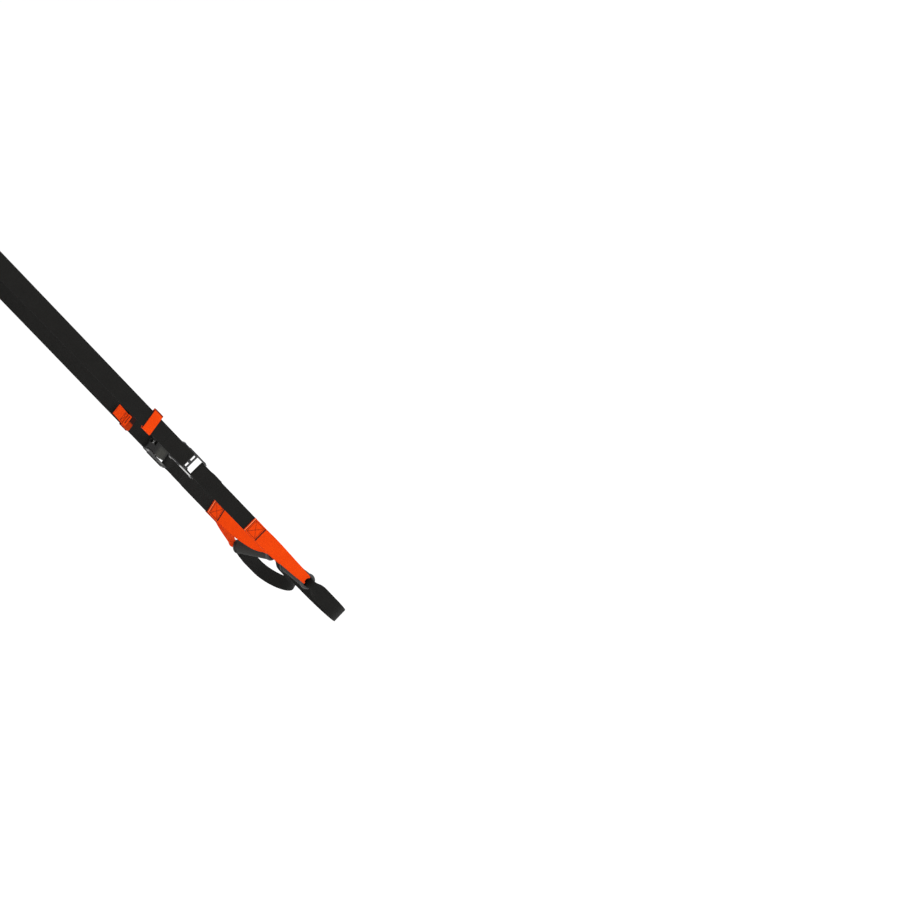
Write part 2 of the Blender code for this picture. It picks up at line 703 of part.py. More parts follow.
def make_lever(name, surface, joint):
    """Toothed cam and thumb lever in one, with a slot for its spring."""
    teeth = []
    step = (CAM_HIGH_ANGLE - CAM_LOW_ANGLE) / CAM_TEETH
    for index in range(CAM_TEETH):
        angle = CAM_HIGH_ANGLE - index * step
        for share, depth in ((0, CAM_TOOTH_DEPTH), (0.35, 0), (0.5, 0)):
            at = angle - share * step
            radius = cam_radius(at) - depth
            teeth.append((PIN_X + radius * math.cos(at), PIN_Z + radius * math.sin(at)))
    root = CAM_RADIUS + CAM_GROWTH_PER_RADIAN * CAM_LOW_ANGLE
    slope = LEVER_BACK + LEVER_TIP_REACH
    low = PIN_Z - LEVER_LENGTH
    arm = rounded([
        (PIN_X - root * 0.10, PIN_Z - root * 1.05, 0),
        (PIN_X - LEVER_BACK + LEVER_THICKNESS, PIN_Z - LEVER_LENGTH * 0.55, LEVER_LENGTH),
        (PIN_X - LEVER_BACK + LEVER_THICKNESS * 0.6, low + LEVER_LENGTH * 0.14, LEVER_THICKNESS),
        (PIN_X - slope, low, LEVER_THICKNESS / 3),
        (PIN_X - slope - LEVER_THICKNESS * 0.7, low + LEVER_THICKNESS, LEVER_THICKNESS / 3),
        (PIN_X - LEVER_BACK - LEVER_THICKNESS * 0.4, low + LEVER_LENGTH * 0.22, LEVER_THICKNESS),
        (PIN_X - LEVER_BACK, PIN_Z - LEVER_LENGTH * 0.30, LEVER_LENGTH),
        (PIN_X - LEVER_BACK, PIN_Z + root * 0.55, root * 0.6),
        (PIN_X - root * 0.10, PIN_Z + CAM_RADIUS * 1.15, root * 0.6),
        (teeth[0][0], teeth[0][1], 0),
    ])
    outline = teeth + [(p.x, p.y) for p in arm[:-1]]
    half = FLANGE_INNER_Y - LEVER_SIDE_GAP
    lever = make_object(name, prism(outline, "Y", -half, half), surface, joint, math.radians(30))
    hole = PIN_RADIUS + SEAT_GAP
    reach = half + CUT_OVERRUN
    tool = make_tool(name + "_hole_tool", turned([(-reach, hole), (reach, hole)], (PIN_X, 0, PIN_Z), "Y", 20), joint)
    combine(lever, tool, "DIFFERENCE")
    plate = PIN_X - LEVER_BACK
    cheek = [(plate + LEVER_THICKNESS / 2, PIN_Z - root / 2), (PIN_X, PIN_Z - root / 2),
             (plate + LEVER_THICKNESS + LEVER_CHEEK_DEPTH, PIN_Z - LEVER_LENGTH / 2),
             (plate + LEVER_THICKNESS + LEVER_CHEEK_TIP_DEPTH, low + LEVER_LENGTH / 7),
             (plate + LEVER_THICKNESS / 2, low + LEVER_LENGTH / 7)]
    outer = half - SEAT_GAP
    inner = outer - LEVER_CHEEK_THICKNESS
    for label, start, end in (("a", inner, outer), ("b", -outer, -inner)):
        combine(lever, make_tool(name + "_cheek_tool_" + label, prism(cheek, "Y", start, end), joint), "UNION")
    back, above = LEVER_BACK + CUT_OVERRUN, CAM_RADIUS + CUT_OVERRUN
    slot = [(PIN_X + SPRING_SLOT_REACH, PIN_Z - SPRING_SLOT_REACH), (PIN_X + SPRING_SLOT_REACH, PIN_Z + above),
            (PIN_X - back, PIN_Z + above), (PIN_X - back, PIN_Z - SPRING_SLOT_REACH)]
    tool = make_tool(name + "_slot_tool", prism(slot, "Y", -SPRING_SLOT_HALF_WIDTH, SPRING_SLOT_HALF_WIDTH), joint)
    combine(lever, tool, "DIFFERENCE")
    return lever


def make_cam_spring(name, surface, joint):
    """Torsion spring round the cam's pin, with one leg on the lever and one towards the frame."""
    length = 2 * (SPRING_SLOT_HALF_WIDTH - SPRING_WIRE_RADIUS - SEAT_GAP) * 0.86
    count = SPRING_TURNS * COIL_POINTS
    coil = []
    for step in range(count + 1):
        share = step / count
        angle = math.pi + 2 * math.pi * SPRING_TURNS * share
        coil.append(Vector((PIN_X + math.cos(angle) * SPRING_RADIUS, (share - 0.5) * length,
                            PIN_Z + math.sin(angle) * SPRING_RADIUS)))
    floor = SPRING_SLOT_REACH - SPRING_WIRE_RADIUS - SEAT_GAP
    lever_leg = Vector((coil[0].x, coil[0].y, PIN_Z + SPRING_LEG))
    frame_leg = Vector((coil[-1].x, coil[-1].y, PIN_Z - floor))
    points = [lever_leg] + coil + [frame_leg]
    print("cam spring gap", round(coil_gap(SPRING_RADIUS, SPRING_TURNS, length, SPRING_WIRE_RADIUS), 5))
    return make_object(name, swept(points, SPRING_WIRE_RADIUS, WIRE_SIDES), surface, joint, math.radians(50))


def make_lower_strap(name, surface, joint):
    """Short strap sewn round the buckle's lower bar, doubled down to the step in its edge."""
    wrap = LOWER_BAR_RADIUS + RUNNING_GAP + WEBBING_THICKNESS / 2
    layer = WEBBING_THICKNESS / 2 + SEAT_GAP / 2
    bar_x = -LOWER_BAR_DEPTH
    spread = BAR_Z - LAYER_SPREAD_HEIGHT
    corners = [
        (-LOWER_STRAP_SET, BOX_END_Z, 0),
        (-LOWER_STRAP_SET, STEP_Z - LAYER_SPREAD_HEIGHT, LAYER_SPREAD_HEIGHT),
        (bar_x + layer, STEP_Z, LAYER_SPREAD_HEIGHT),
        (bar_x + layer, spread, LAYER_BEND_RADIUS),
        (bar_x + wrap, BAR_Z - wrap, LAYER_BEND_RADIUS),
        (bar_x + wrap, BAR_Z + wrap, wrap),
        (bar_x - wrap, BAR_Z + wrap, wrap),
        (bar_x - wrap, BAR_Z - wrap, LAYER_BEND_RADIUS),
        (bar_x - layer, spread, LAYER_BEND_RADIUS),
        (bar_x - layer, STEP_Z, 0),
    ]

    def shape(length, point):
        folded_back = smooth((spread - point.y) / LAYER_SPREAD_HEIGHT) if point.x < bar_x - layer / 2 else 0.0
        return WEBBING_WIDTH + 2 * DOUBLED_OVERHANG * folded_back, WEBBING_THICKNESS, 0.0, 0.0

    points = spaced(rounded(corners), PATH_STEP)
    return make_object(name, band(points, shape), surface, joint, math.radians(30))


def webbing_shape(run_out, spread_length):
    """Cross-section that is rolled in the grip's bore and spreads flat beyond its ends."""
    def shape(length, point):
        beyond = run_out(point)
        width = WEBBING_RUN_WIDTH + (MOUTH_WIDTH - WEBBING_RUN_WIDTH) * smooth(beyond / MOUTH_LENGTH)
        width += (WEBBING_WIDTH - MOUTH_WIDTH) * smooth(beyond / spread_length)
        return width, WEBBING_THICKNESS, 1 - smooth(beyond / CUP_LENGTH), 0.0
    return shape


def make_handle(name, surface, joint, grip_x, grip_z):
    """Orange webbing from the stitched box down one leg, through the grip and up the other leg."""
    sewn = WEBBING_THICKNESS + SEAT_GAP
    bend_z = grip_z + RIM_CENTRE
    run_z = grip_z + WEBBING_RUN_RADIUS
    corners = []
    for side in (1, -1):
        top_x = -LOWER_STRAP_SET + side * sewn
        across, down = CAP_X + side * (grip_x - top_x), BOX_END_Z - bend_z
        slant = math.atan2(across, down) + math.asin(WEBBING_BEND_RADIUS / math.hypot(across, down))
        corner_x = CAP_X + WEBBING_BEND_RADIUS * (1 / math.cos(slant) + math.tan(slant))
        leg = [(top_x, BOX_TOP_Z, 0), (top_x, BOX_END_Z, LEG_BEND_RADIUS),
               (grip_x + side * corner_x, run_z, WEBBING_BEND_RADIUS)]
        corners += leg if side > 0 else list(reversed(leg))
    points = spaced(rounded(corners), PATH_STEP)

    def beyond_bore(point):
        return max(0.0, abs(point.x - grip_x) - CAP_X) + max(0.0, point.y - run_z)

    shape = webbing_shape(beyond_bore, LEG_SPREAD_LENGTH)
    return make_object(name, band(points, shape, strips=BAND_STRIPS), surface, joint, math.radians(30))


def make_cradle(name, surface, joint, grip_x, grip_z):
    """Black webbing loop through the grip, hanging down as a foot cradle."""
    run_z = grip_z - WEBBING_RUN_RADIUS
    leg_x = CAP_X + WEBBING_BEND_RADIUS
    bottom = grip_z - CRADLE_DEPTH
    corners = [(grip_x - leg_x, run_z, WEBBING_BEND_RADIUS), (grip_x + leg_x, run_z, WEBBING_BEND_RADIUS),
               (grip_x + leg_x, bottom, leg_x * 0.999), (grip_x - leg_x, bottom, leg_x * 0.999)]
    points = spaced(rounded(corners, closed=True), PATH_STEP, closed=True)

    def beyond_bore(point):
        return max(0.0, abs(point.x - grip_x) - CAP_X) + max(0.0, run_z - point.y)

    shape = webbing_shape(beyond_bore, CRADLE_SPREAD_LENGTH)
    made = band(points, shape, closed=True, strips=BAND_STRIPS)
    return make_object(name, made, surface, joint, math.radians(30))


def make_grip(prefix, plastic, foam, joint, grip_x, grip_z):
    """Grip tube with its foam sleeve and a flared cap at each end."""
    centre = (grip_x, 0, grip_z)
    half = TUBE_HALF_LENGTH
    tube = [(-half, BORE_RADIUS), (half, BORE_RADIUS), (half, TUBE_RADIUS), (-half, TUBE_RADIUS)]
    make_object(prefix + "grip_tube", turned(tube, centre, "X", ring_shaped=True), plastic, joint, math.radians(30))

    inner = TUBE_RADIUS + SEAT_GAP
    sleeve = rounded([(-half, inner, 0), (-half, FOAM_RADIUS, FOAM_EDGE_RADIUS),
                      (half, FOAM_RADIUS, FOAM_EDGE_RADIUS), (half, inner, 0)], closed=True, step=math.radians(30))
    sleeve = [(p.x, p.y) for p in sleeve]
    make_object(prefix + "grip_foam", turned(sleeve, centre, "X", ring_shaped=True), foam, joint, math.radians(30))

    back = half + SEAT_GAP
    for label, way in (("outer", 1), ("inner", -1)):
        profile = [(way * back, BORE_RADIUS)]
        for step in range(7):
            angle = -math.pi / 2 + math.pi * step / 6
            profile.append((way * (CAP_X + RIM_RADIUS * math.cos(angle)), RIM_CENTRE + RIM_RADIUS * math.sin(angle)))
        profile.append((way * back, RIM_CENTRE + RIM_RADIUS))
        made = turned(profile, centre, "X", ring_shaped=True)
        make_object(prefix + label + "_grip_cap", made, plastic, joint, math.radians(40))


def make_side(prefix, side, turn, tab_drop, loop, pull, grip_shift, grip_sink, surfaces):
    """Everything that hangs from the carabiner on one side."""
    swing = make_joint(prefix + "swing", (0, 0, 0))
    facing = 0.0 if side > 0 else math.pi
    lean = Matrix.Rotation(-side * LEAN_ANGLE, 4, "Y")
    place = Matrix.Translation((0, side * STRAP_OFFSET, PIVOT_Z))
    swing["empty"].matrix_world = place @ lean @ Matrix.Rotation(facing + turn, 4, "Z")
    tab_z = TAB_Z - tab_drop
    grip_z = GRIP_Z - grip_sink
    adjust = make_joint(prefix + "adjust", (0, 0, BAR_Z), swing)
    lever = make_joint(prefix + "cam_lever_pivot", (PIN_X, 0, PIN_Z), adjust)
    tab = make_joint(prefix + "tab_slide", (0, 0, tab_z), adjust)
    lower = make_joint(prefix + "lower_pivot", (-LOWER_BAR_DEPTH, 0, BAR_Z), adjust)
    grip = make_joint(prefix + "grip_spin", (grip_shift, 0, grip_z), lower)
    cradle = make_joint(prefix + "cradle_swing", (grip_shift, 0, grip_z), lower)

    make_main_strap(prefix + "main_strap", surfaces["black"], swing, -turn)
    make_tail(prefix + "strap_tail", surfaces["black"], adjust, tab_z)
    make_frame(prefix + "buckle_frame", surfaces["dark"], adjust)
    make_rivet(prefix + "cam_pin", (PIN_X, 0, PIN_Z), PIN_RADIUS, PIN_HEAD_RADIUS, surfaces["steel"], adjust)
    bar_place = (-LOWER_BAR_DEPTH, 0, BAR_Z)
    make_rivet(prefix + "lower_bar", bar_place, LOWER_BAR_RADIUS, LOWER_BAR_HEAD_RADIUS, surfaces["steel"], adjust)
    make_lever(prefix + "cam_lever", surfaces["dark"], lever)
    make_cam_spring(prefix + "cam_spring", surfaces["steel"], lever)
    make_tab(prefix, surfaces["orange"], tab, tab_z, *loop, *pull)
    make_lower_strap(prefix + "lower_strap", surfaces["black"], lower)
    make_handle(prefix + "handle_webbing", surfaces["orange"], lower, grip_shift, grip_z)
    make_grip(prefix, surfaces["plastic"], surfaces["foam"], grip, grip_shift, grip_z)
    make_cradle(prefix + "foot_cradle", surfaces["black"], cradle, grip_shift, grip_z)


def main():
    """Builds the whole trainer."""
    for old in list(bpy.data.objects):
        bpy.data.objects.remove(old, do_unlink=True)
    surfaces = {
        "black": material("black_webbing", BLACK_WEBBING, 0.75),
        "orange": material("orange_webbing", ORANGE_WEBBING, 0.70),
        "steel": material("zinc_steel", STEEL, 0.35, 1.0),
        "dark": material("dark_steel", DARK_STEEL, 0.45, 0.8),
        "foam": material("grip_foam", FOAM_GREY, 0.90),
        "plastic": material("black_plastic", BLACK_PLASTIC, 0.50),
    }
    make_carabiner(surfaces["steel"], surfaces["dark"])
    make_side("right_", 1, 0.0, 0.0, (RIGHT_LOOP_SHIFT, RIGHT_LOOP_SLOPE_SHARE), (0.0, 0.0), 0.0, 0.0, surfaces)
    make_side("left_", -1, LEFT_TURN, LEFT_TAB_DROP, (LEFT_LOOP_SHIFT, 0.0), (LEFT_PULL_SHIFT, LEFT_PULL_SKEW),
              LEFT_GRIP_SHIFT, LEFT_GRIP_SINK, surfaces)
    bpy.context.view_layer.update()


main()
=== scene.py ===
"""Looks of the suspension trainer: webbing, stitching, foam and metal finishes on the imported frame."""
import json
import math
import random

import bmesh
import bpy
from mathutils import Matrix, Vector, noise

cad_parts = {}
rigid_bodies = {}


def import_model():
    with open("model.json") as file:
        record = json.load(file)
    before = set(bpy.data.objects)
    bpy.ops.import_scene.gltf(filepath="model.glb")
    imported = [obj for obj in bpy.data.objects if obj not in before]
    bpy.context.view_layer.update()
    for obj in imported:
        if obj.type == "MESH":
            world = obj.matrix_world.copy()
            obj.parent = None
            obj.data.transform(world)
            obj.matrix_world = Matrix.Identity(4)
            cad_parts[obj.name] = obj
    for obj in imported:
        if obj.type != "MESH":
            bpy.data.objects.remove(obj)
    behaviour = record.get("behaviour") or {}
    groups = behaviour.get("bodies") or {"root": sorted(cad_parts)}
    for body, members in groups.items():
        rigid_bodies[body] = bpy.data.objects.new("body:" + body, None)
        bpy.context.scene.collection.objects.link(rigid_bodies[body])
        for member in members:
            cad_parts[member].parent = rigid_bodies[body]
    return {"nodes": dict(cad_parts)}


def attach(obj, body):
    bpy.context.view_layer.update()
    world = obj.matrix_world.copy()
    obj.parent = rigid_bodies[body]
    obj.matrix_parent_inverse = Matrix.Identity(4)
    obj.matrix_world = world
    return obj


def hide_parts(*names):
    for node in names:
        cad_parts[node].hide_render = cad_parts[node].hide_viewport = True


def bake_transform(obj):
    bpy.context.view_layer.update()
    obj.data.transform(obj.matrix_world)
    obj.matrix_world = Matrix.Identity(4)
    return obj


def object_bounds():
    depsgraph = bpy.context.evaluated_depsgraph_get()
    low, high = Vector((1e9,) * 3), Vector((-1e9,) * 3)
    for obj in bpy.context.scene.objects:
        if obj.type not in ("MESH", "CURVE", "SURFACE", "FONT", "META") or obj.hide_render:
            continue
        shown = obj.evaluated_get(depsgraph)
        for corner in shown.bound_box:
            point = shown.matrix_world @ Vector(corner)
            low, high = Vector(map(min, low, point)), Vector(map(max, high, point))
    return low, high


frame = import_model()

cad_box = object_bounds()

# Sizes and places, the same as the frame's

SEAT_GAP = 0.0003
RUNNING_GAP = 0.0004
WEBBING_WIDTH = 0.038
WEBBING_THICKNESS = 0.0024
FOLDED_WIDTH = 0.020
FOLDED_THICKNESS = 0.0048
STRAP_OFFSET = 0.0124
LEAN_ANGLE = math.radians(5.0)
LEFT_TURN = math.radians(20.0)
ROD_RADIUS = 0.005
PIVOT_Z = -0.100
BOX_TOP_Z = -1.000
BOX_LENGTH = 0.0443
BOX_END_Z = BOX_TOP_Z - BOX_LENGTH
BAR_Z = BOX_TOP_Z + 0.1853
TAB_Z = BAR_Z + 0.1597
STEP_Z = BOX_TOP_Z + 0.1212
GRIP_Z = BOX_TOP_Z - 0.1866
LOOP_SEAM_TOP = 0.034
LOOP_SEAM_END = 0.075
FLAT_START = 0.150
SHEET_THICKNESS = 0.0022
CLAMP_X = -SHEET_THICKNESS / 2
CLAMP_Z = BAR_Z + 0.0386
CLAMP_TURN_RADIUS = SHEET_THICKNESS / 2 + SEAT_GAP + WEBBING_THICKNESS / 2
MAIN_X = CLAMP_X + CLAMP_TURN_RADIUS
TAIL_X = CLAMP_X - CLAMP_TURN_RADIUS
TAIL_FACE_X = TAIL_X - WEBBING_THICKNESS / 2
FLANGE_INNER_Y = WEBBING_WIDTH / 2 + SEAT_GAP * 2
LOWER_BAR_RADIUS = 0.00275
LOWER_BAR_DEPTH = 0.0058
TAB_HEIGHT = 0.0275
TAB_THICKNESS = 0.0017
TAB_SLACK = 0.0041
PULL_LENGTH = 0.069
PULL_OVERHANG = 0.0010
PULL_FOLD_DEPTH = 0.0046
TAB_DROPS = {"right_": 0.0, "left_": 0.021}
LOOP_LIES = {"right_": (0.0016, 0.184), "left_": (-0.0037, 0.0)}
GRIP_LIES = {"right_": (0.0, GRIP_Z), "left_": (-0.011, GRIP_Z - 0.003)}
LOWER_STRAP_SET = 0.0020
LAYER_SPREAD_HEIGHT = 0.020
LAYER_BEND_RADIUS = 0.008
DOUBLED_OVERHANG = 0.0015
TUBE_HALF_LENGTH = 0.0545
WEBBING_RUN_RADIUS = 0.0095
WEBBING_RUN_WIDTH = 0.020
WEBBING_BEND_RADIUS = 0.0055
CAP_FLAT = 0.0027
CAP_X = TUBE_HALF_LENGTH + SEAT_GAP + CAP_FLAT
RIM_CENTRE = WEBBING_RUN_RADIUS + WEBBING_BEND_RADIUS
CUP_LENGTH = 0.034
MOUTH_WIDTH = 0.026
MOUTH_LENGTH = 0.012
LEG_SPREAD_LENGTH = 0.120
CRADLE_SPREAD_LENGTH = 0.045
LEG_BEND_RADIUS = 0.030
CRADLE_DEPTH = 0.160

# Forms and places of the dressed pieces only

KEEPER_HEIGHT = 0.0240
KEEPER_THICKNESS = TAB_THICKNESS * 0.94
KEEPER_CORNER = 0.0014
PULL_WIDTH = 0.0265
PULL_FOLD_LENGTH = 0.009
PULL_END_RISE = 0.0225
PULL_TOP_DROP = 0.0045
PULL_LIES = {"right_": (0.0, 0.0), "left_": (0.0073, math.radians(3.3))}
LEFT_NEAR_SPREAD = 0.050
LEFT_NEAR_SWAY = 0.006
CREASE_Z = BOX_TOP_Z + 0.2945
CREASE_DEPTH = 0.0007
CREASE_WIDTH = 0.0011
CREASE_END = 0.0165
CREASE_FADE = 0.005
CREASE_REACH = 0.004
FRONT_AFTER = 0.09
HEM_LENGTH = 0.0038
HEM_RISE = 0.0010
HEM_REACH = 0.001
TACK_PLACE = 0.0408
TACK_SINK = 0.00022
TACK_SINK_WIDTH = 0.0030
TACK_REACH = 0.006
HANDLE_PLEAT = 0.0007
CRADLE_PLEAT = 0.0006
PLEAT_COUNT = 5
FOAM_INNER = 0.0132
FOAM_OUTER = 0.0174
FOAM_EDGE = 0.0024
FOAM_DENT = 0.00026
FOAM_PIT = 0.00010
SELVEDGE_WIDTH = 0.0036
GROOVE_WIDTH = 0.0007
GROOVE_DEPTH = 0.00012
STRAP_WAVE = 0.00018
KEEPER_WAVE = 0.00012
TAPE_WAVE = 0.0001
HANDLE_WAVE = 0.0004
WAVES_ACROSS, WAVES_ALONG = 26, 17
SHARP_ANGLE = math.radians(33.0)

# Spacing of the points along a band

STRAP_STEP = 0.004
BAND_STEP = 0.003
TACK_STEP = 0.0012
FINE_STEP = 0.0005
KEEPER_TURN_STEP = math.radians(15)
PULL_BEND_SHARE = 0.98
CRADLE_BEND_SHARE = 0.999

# Colours and marks of the surfaces

# Deep colours are painted shade in the weave's hollows; face colours are the yarns' own colour on their
# crowns.
ORANGE_DEEP, ORANGE_FACE = (0.58, 0.026, 0.0015, 1), (0.98, 0.088, 0.003, 1)
ORANGE_DUSTY, ORANGE_EDGE = (0.98, 0.20, 0.04, 1), (0.62, 0.045, 0.005, 1)
# The pale orange is a painted highlight on the handle's hem; the dark orange is painted shade beside the hem
# and where a keeper turns round the strap.
ORANGE_HIGHLIGHT, ORANGE_SHADE = (1.0, 0.36, 0.16, 1), (0.10, 0.008, 0.002, 1)
# Shaded copy of the orange for the left keeper: painted shade over the whole keeper.
SHADED_DEEP, SHADED_FACE = (0.30, 0.018, 0.001, 1), (0.60, 0.050, 0.003, 1)
# Colour of the near-black painted shade over the end of the left keeper's loop.
KEEPER_SHADE_TINT = (0.010, 0.008, 0.008, 1)
# Painted highlight on the hem, then a line of painted shade beyond it, at the handle's sewn ends.
HEM_HIGHLIGHT_AND_SHADE = ((0.0008, 0.0022, 0.50, ORANGE_HIGHLIGHT), (0.0036, 0.0054, 0.80, ORANGE_SHADE))
MM = 1000
RIB_PITCH_MM = 1.45
YARN_PITCH_MM = 1.15
# Insets from the edge between which the selvedges darken into painted shade.
SELVEDGE_SHADE_MM = (1.6, 0.2)
STEEL_BEVEL = 0.0004
TAPE_SHINE = 0.05
# Painted shade where a keeper turns round the strap's edge.
RIM_BEFORE = 0.0050
RIM_PAST = 0.0010
RIM_FADE = 0.0012
# Length, reach and fade of the near-black painted shade on the left keeper.
KEEPER_SHADE_LENGTH = WEBBING_WIDTH * 0.74
KEEPER_SHADE_PAST = 0.010
KEEPER_SHADE_FADE = 0.0050
# Fade of the hem's painted highlight and painted shade.
HEM_SHADING_FADE = 0.0004
# Fades of the painted glint on a buckle's flange.
GLINT_SIDE_FADE = 0.0020
GLINT_END_FADE = 0.006

SIDES = {"right_": (1, 0.0), "left_": (-1, LEFT_TURN)}


def side_frame(prefix):
    """Matrix from one side's own frame to the world."""
    side, turn = SIDES[prefix]
    facing = 0.0 if side > 0 else math.pi
    lean = Matrix.Rotation(-side * LEAN_ANGLE, 4, "Y")
    place = Matrix.Translation((0, side * STRAP_OFFSET, PIVOT_Z))
    return place @ lean @ Matrix.Rotation(facing + turn, 4, "Z")


def smooth(share):
    """Smooth step from 0 to 1."""
    share = min(max(share, 0.0), 1.0)
    return share * share * (3 - 2 * share)


# Building of node materials

class Nodes:
    """Short way to write a material's or a world's nodes."""

    def __init__(self, owner):
        owner.use_nodes = True
        self.owner = owner
        self.tree = owner.node_tree
        self.shader = self.tree.nodes.get("Principled BSDF")

    def put(self, node, key, value):
        """Sets an input by a number or by another node's output."""
        if isinstance(value, (int, float, tuple)):
            node.inputs[key].default_value = value
        else:
            self.tree.links.new(value, node.inputs[key])

    def add(self, kind, inputs=(), **values):
        """Adds a node with its inputs and its other values."""
        node = self.tree.nodes.new(kind)
        for key, value in values.items():
            setattr(node, key, value)
        for key, value in dict(inputs).items():
            self.put(node, key, value)
        return node

    def math(self, operation, *values):
        return self.add("ShaderNodeMath", enumerate(values), operation=operation).outputs[0]

    def times(self, first, second):
        return self.math("MULTIPLY", first, second)

    def dot(self, first, second):
        inputs = {0: first, 1: second}
        return self.add("ShaderNodeVectorMath", inputs, operation="DOT_PRODUCT").outputs["Value"]

    def place(self):
        return self.add("ShaderNodeTexCoord").outputs["Object"]

    def noise(self, vector, scale, detail=3.0, roughness=0.55):
        inputs = {"Vector": vector, "Scale": scale, "Detail": detail, "Roughness": roughness}
        return self.add("ShaderNodeTexNoise", inputs).outputs["Fac"]

    def ramp(self, value, low, high, start=0.0, end=1.0):
        inputs = {"Value": value, "From Min": low, "From Max": high, "To Min": start, "To Max": end}
        return self.add("ShaderNodeMapRange", inputs, interpolation_type="SMOOTHSTEP").outputs[0]

    def mix(self, share, first, second):
        return self.add("ShaderNodeMix", {0: share, 6: first, 7: second}, data_type="RGBA").outputs[2]

    def bump(self, height, distance, strength, normal=None):
        inputs = {"Height": height, "Distance": distance, "Strength": strength}
        if normal:
            inputs["Normal"] = normal
        return self.add("ShaderNodeBump", inputs).outputs["Normal"]

    def finish(self, colour=None, roughness=None, normal=None, metallic=0.0):
        self.put(self.shader, "Metallic", metallic)
        for key, value in (("Base Color", colour), ("Roughness", roughness), ("Normal", normal)):
            if value is not None:
                self.put(self.shader, key, value)
        return self.owner


def webbing_material(name, deep, face, dusty, width, edge=None, zones=(), shine=0.12):
    """Herringbone webbing: ribs along the strap made of slanted yarns, from the strap's own coordinates.

    The coordinates are millimetres across and along, kept in the mesh's "weave" layer. A zone is a tint
    from one length to another, with the length over which it fades and its share.
    """
    n = Nodes(bpy.data.materials.new(name))
    layer = n.add("ShaderNodeUVMap", uv_map="weave")
    split = n.add("ShaderNodeSeparateXYZ", {0: layer.outputs[0]})
    across, along = split.outputs[:2]
    place = n.place()

    wander = n.times(n.math("SUBTRACT", n.noise(place, 160.0), 0.5), 0.5)
    rib = n.times(n.math("ADD", across, wander), 1 / RIB_PITCH_MM)
    rib_share = n.math("FRACT", rib)
    rib_index = n.math("FLOOR", rib)
    way = n.math("SUBTRACT", n.times(n.math("FLOORED_MODULO", rib_index, 2.0), 2.0), 1.0)
    slant = n.times(n.times(n.math("SUBTRACT", rib_share, 0.5), way), 0.8)
    passed = n.times(n.math("ADD", along, wander), 1 / YARN_PITCH_MM)
    yarn = n.math("FRACT", n.math("ADD", passed, slant))
    rib_round = n.math("SINE", n.times(rib_share, math.pi))
    yarn_round = n.math("SINE", n.times(yarn, math.pi))
    relief = n.times(n.math("POWER", rib_round, 0.6), n.math("POWER", yarn_round, 0.7))

    fuzz = n.noise(place, 2600.0, 2.0, 0.7)
    cloud = n.noise(place, 34.0, 4.0, 0.6)
    lint = n.ramp(n.noise(place, 900.0, 3.0, 0.75), 0.66, 0.80)
    # The selvedges darken towards the edge colour: painted shade along the webbing's edges.
    shade_from, shade_to = (width / 2 * MM - inset for inset in SELVEDGE_SHADE_MM)
    selvedge_shade = n.ramp(n.math("ABSOLUTE", across), shade_from, shade_to)
    # Hollows between the yarns take the deep colour and the crowns the face colour: painted shade in the
    # weave.
    tint = n.mix(n.times(relief, n.ramp(cloud, 0.25, 0.75, 0.75, 1.0)), deep, face)
    tint = n.mix(n.times(selvedge_shade, 0.55), tint, edge or face)
    tint = n.mix(n.times(lint, 0.16), tint, dusty)
    for first, last, fade, share, colour in zones:
        inside = n.times(n.ramp(along, (first - fade) * MM, first * MM),
                         n.ramp(along, (last + fade) * MM, last * MM))
        tint = n.mix(n.times(inside, share), tint, colour)
    height = n.math("ADD", relief, n.times(fuzz, 0.30))
    normal = n.bump(height, distance=0.00022, strength=0.75)
    n.put(n.shader, "Sheen Weight", shine / 3)
    n.put(n.shader, "Sheen Roughness", 0.45)
    n.put(n.shader, "Specular IOR Level", shine)
    return n.finish(tint, n.ramp(relief, 0.0, 1.0, 0.92, 0.66), normal)


def orange_material(name, width, zones=(), deep=ORANGE_DEEP, face=ORANGE_FACE):
    """Orange webbing or tape."""
    return webbing_material(name, deep, face, ORANGE_DUSTY, width, ORANGE_EDGE, zones, TAPE_SHINE)


def thread_material(name, colour, light):
    """Twisted sewing thread."""
    n = Nodes(bpy.data.materials.new(name))
    place = n.place()
    twist = n.noise(place, 3800.0, 2.0)
    tint = n.mix(n.ramp(twist, 0.35, 0.7), colour, light)
    n.put(n.shader, "Specular IOR Level", 0.15)
    return n.finish(tint, 0.7, n.bump(twist, distance=0.00012, strength=0.5))


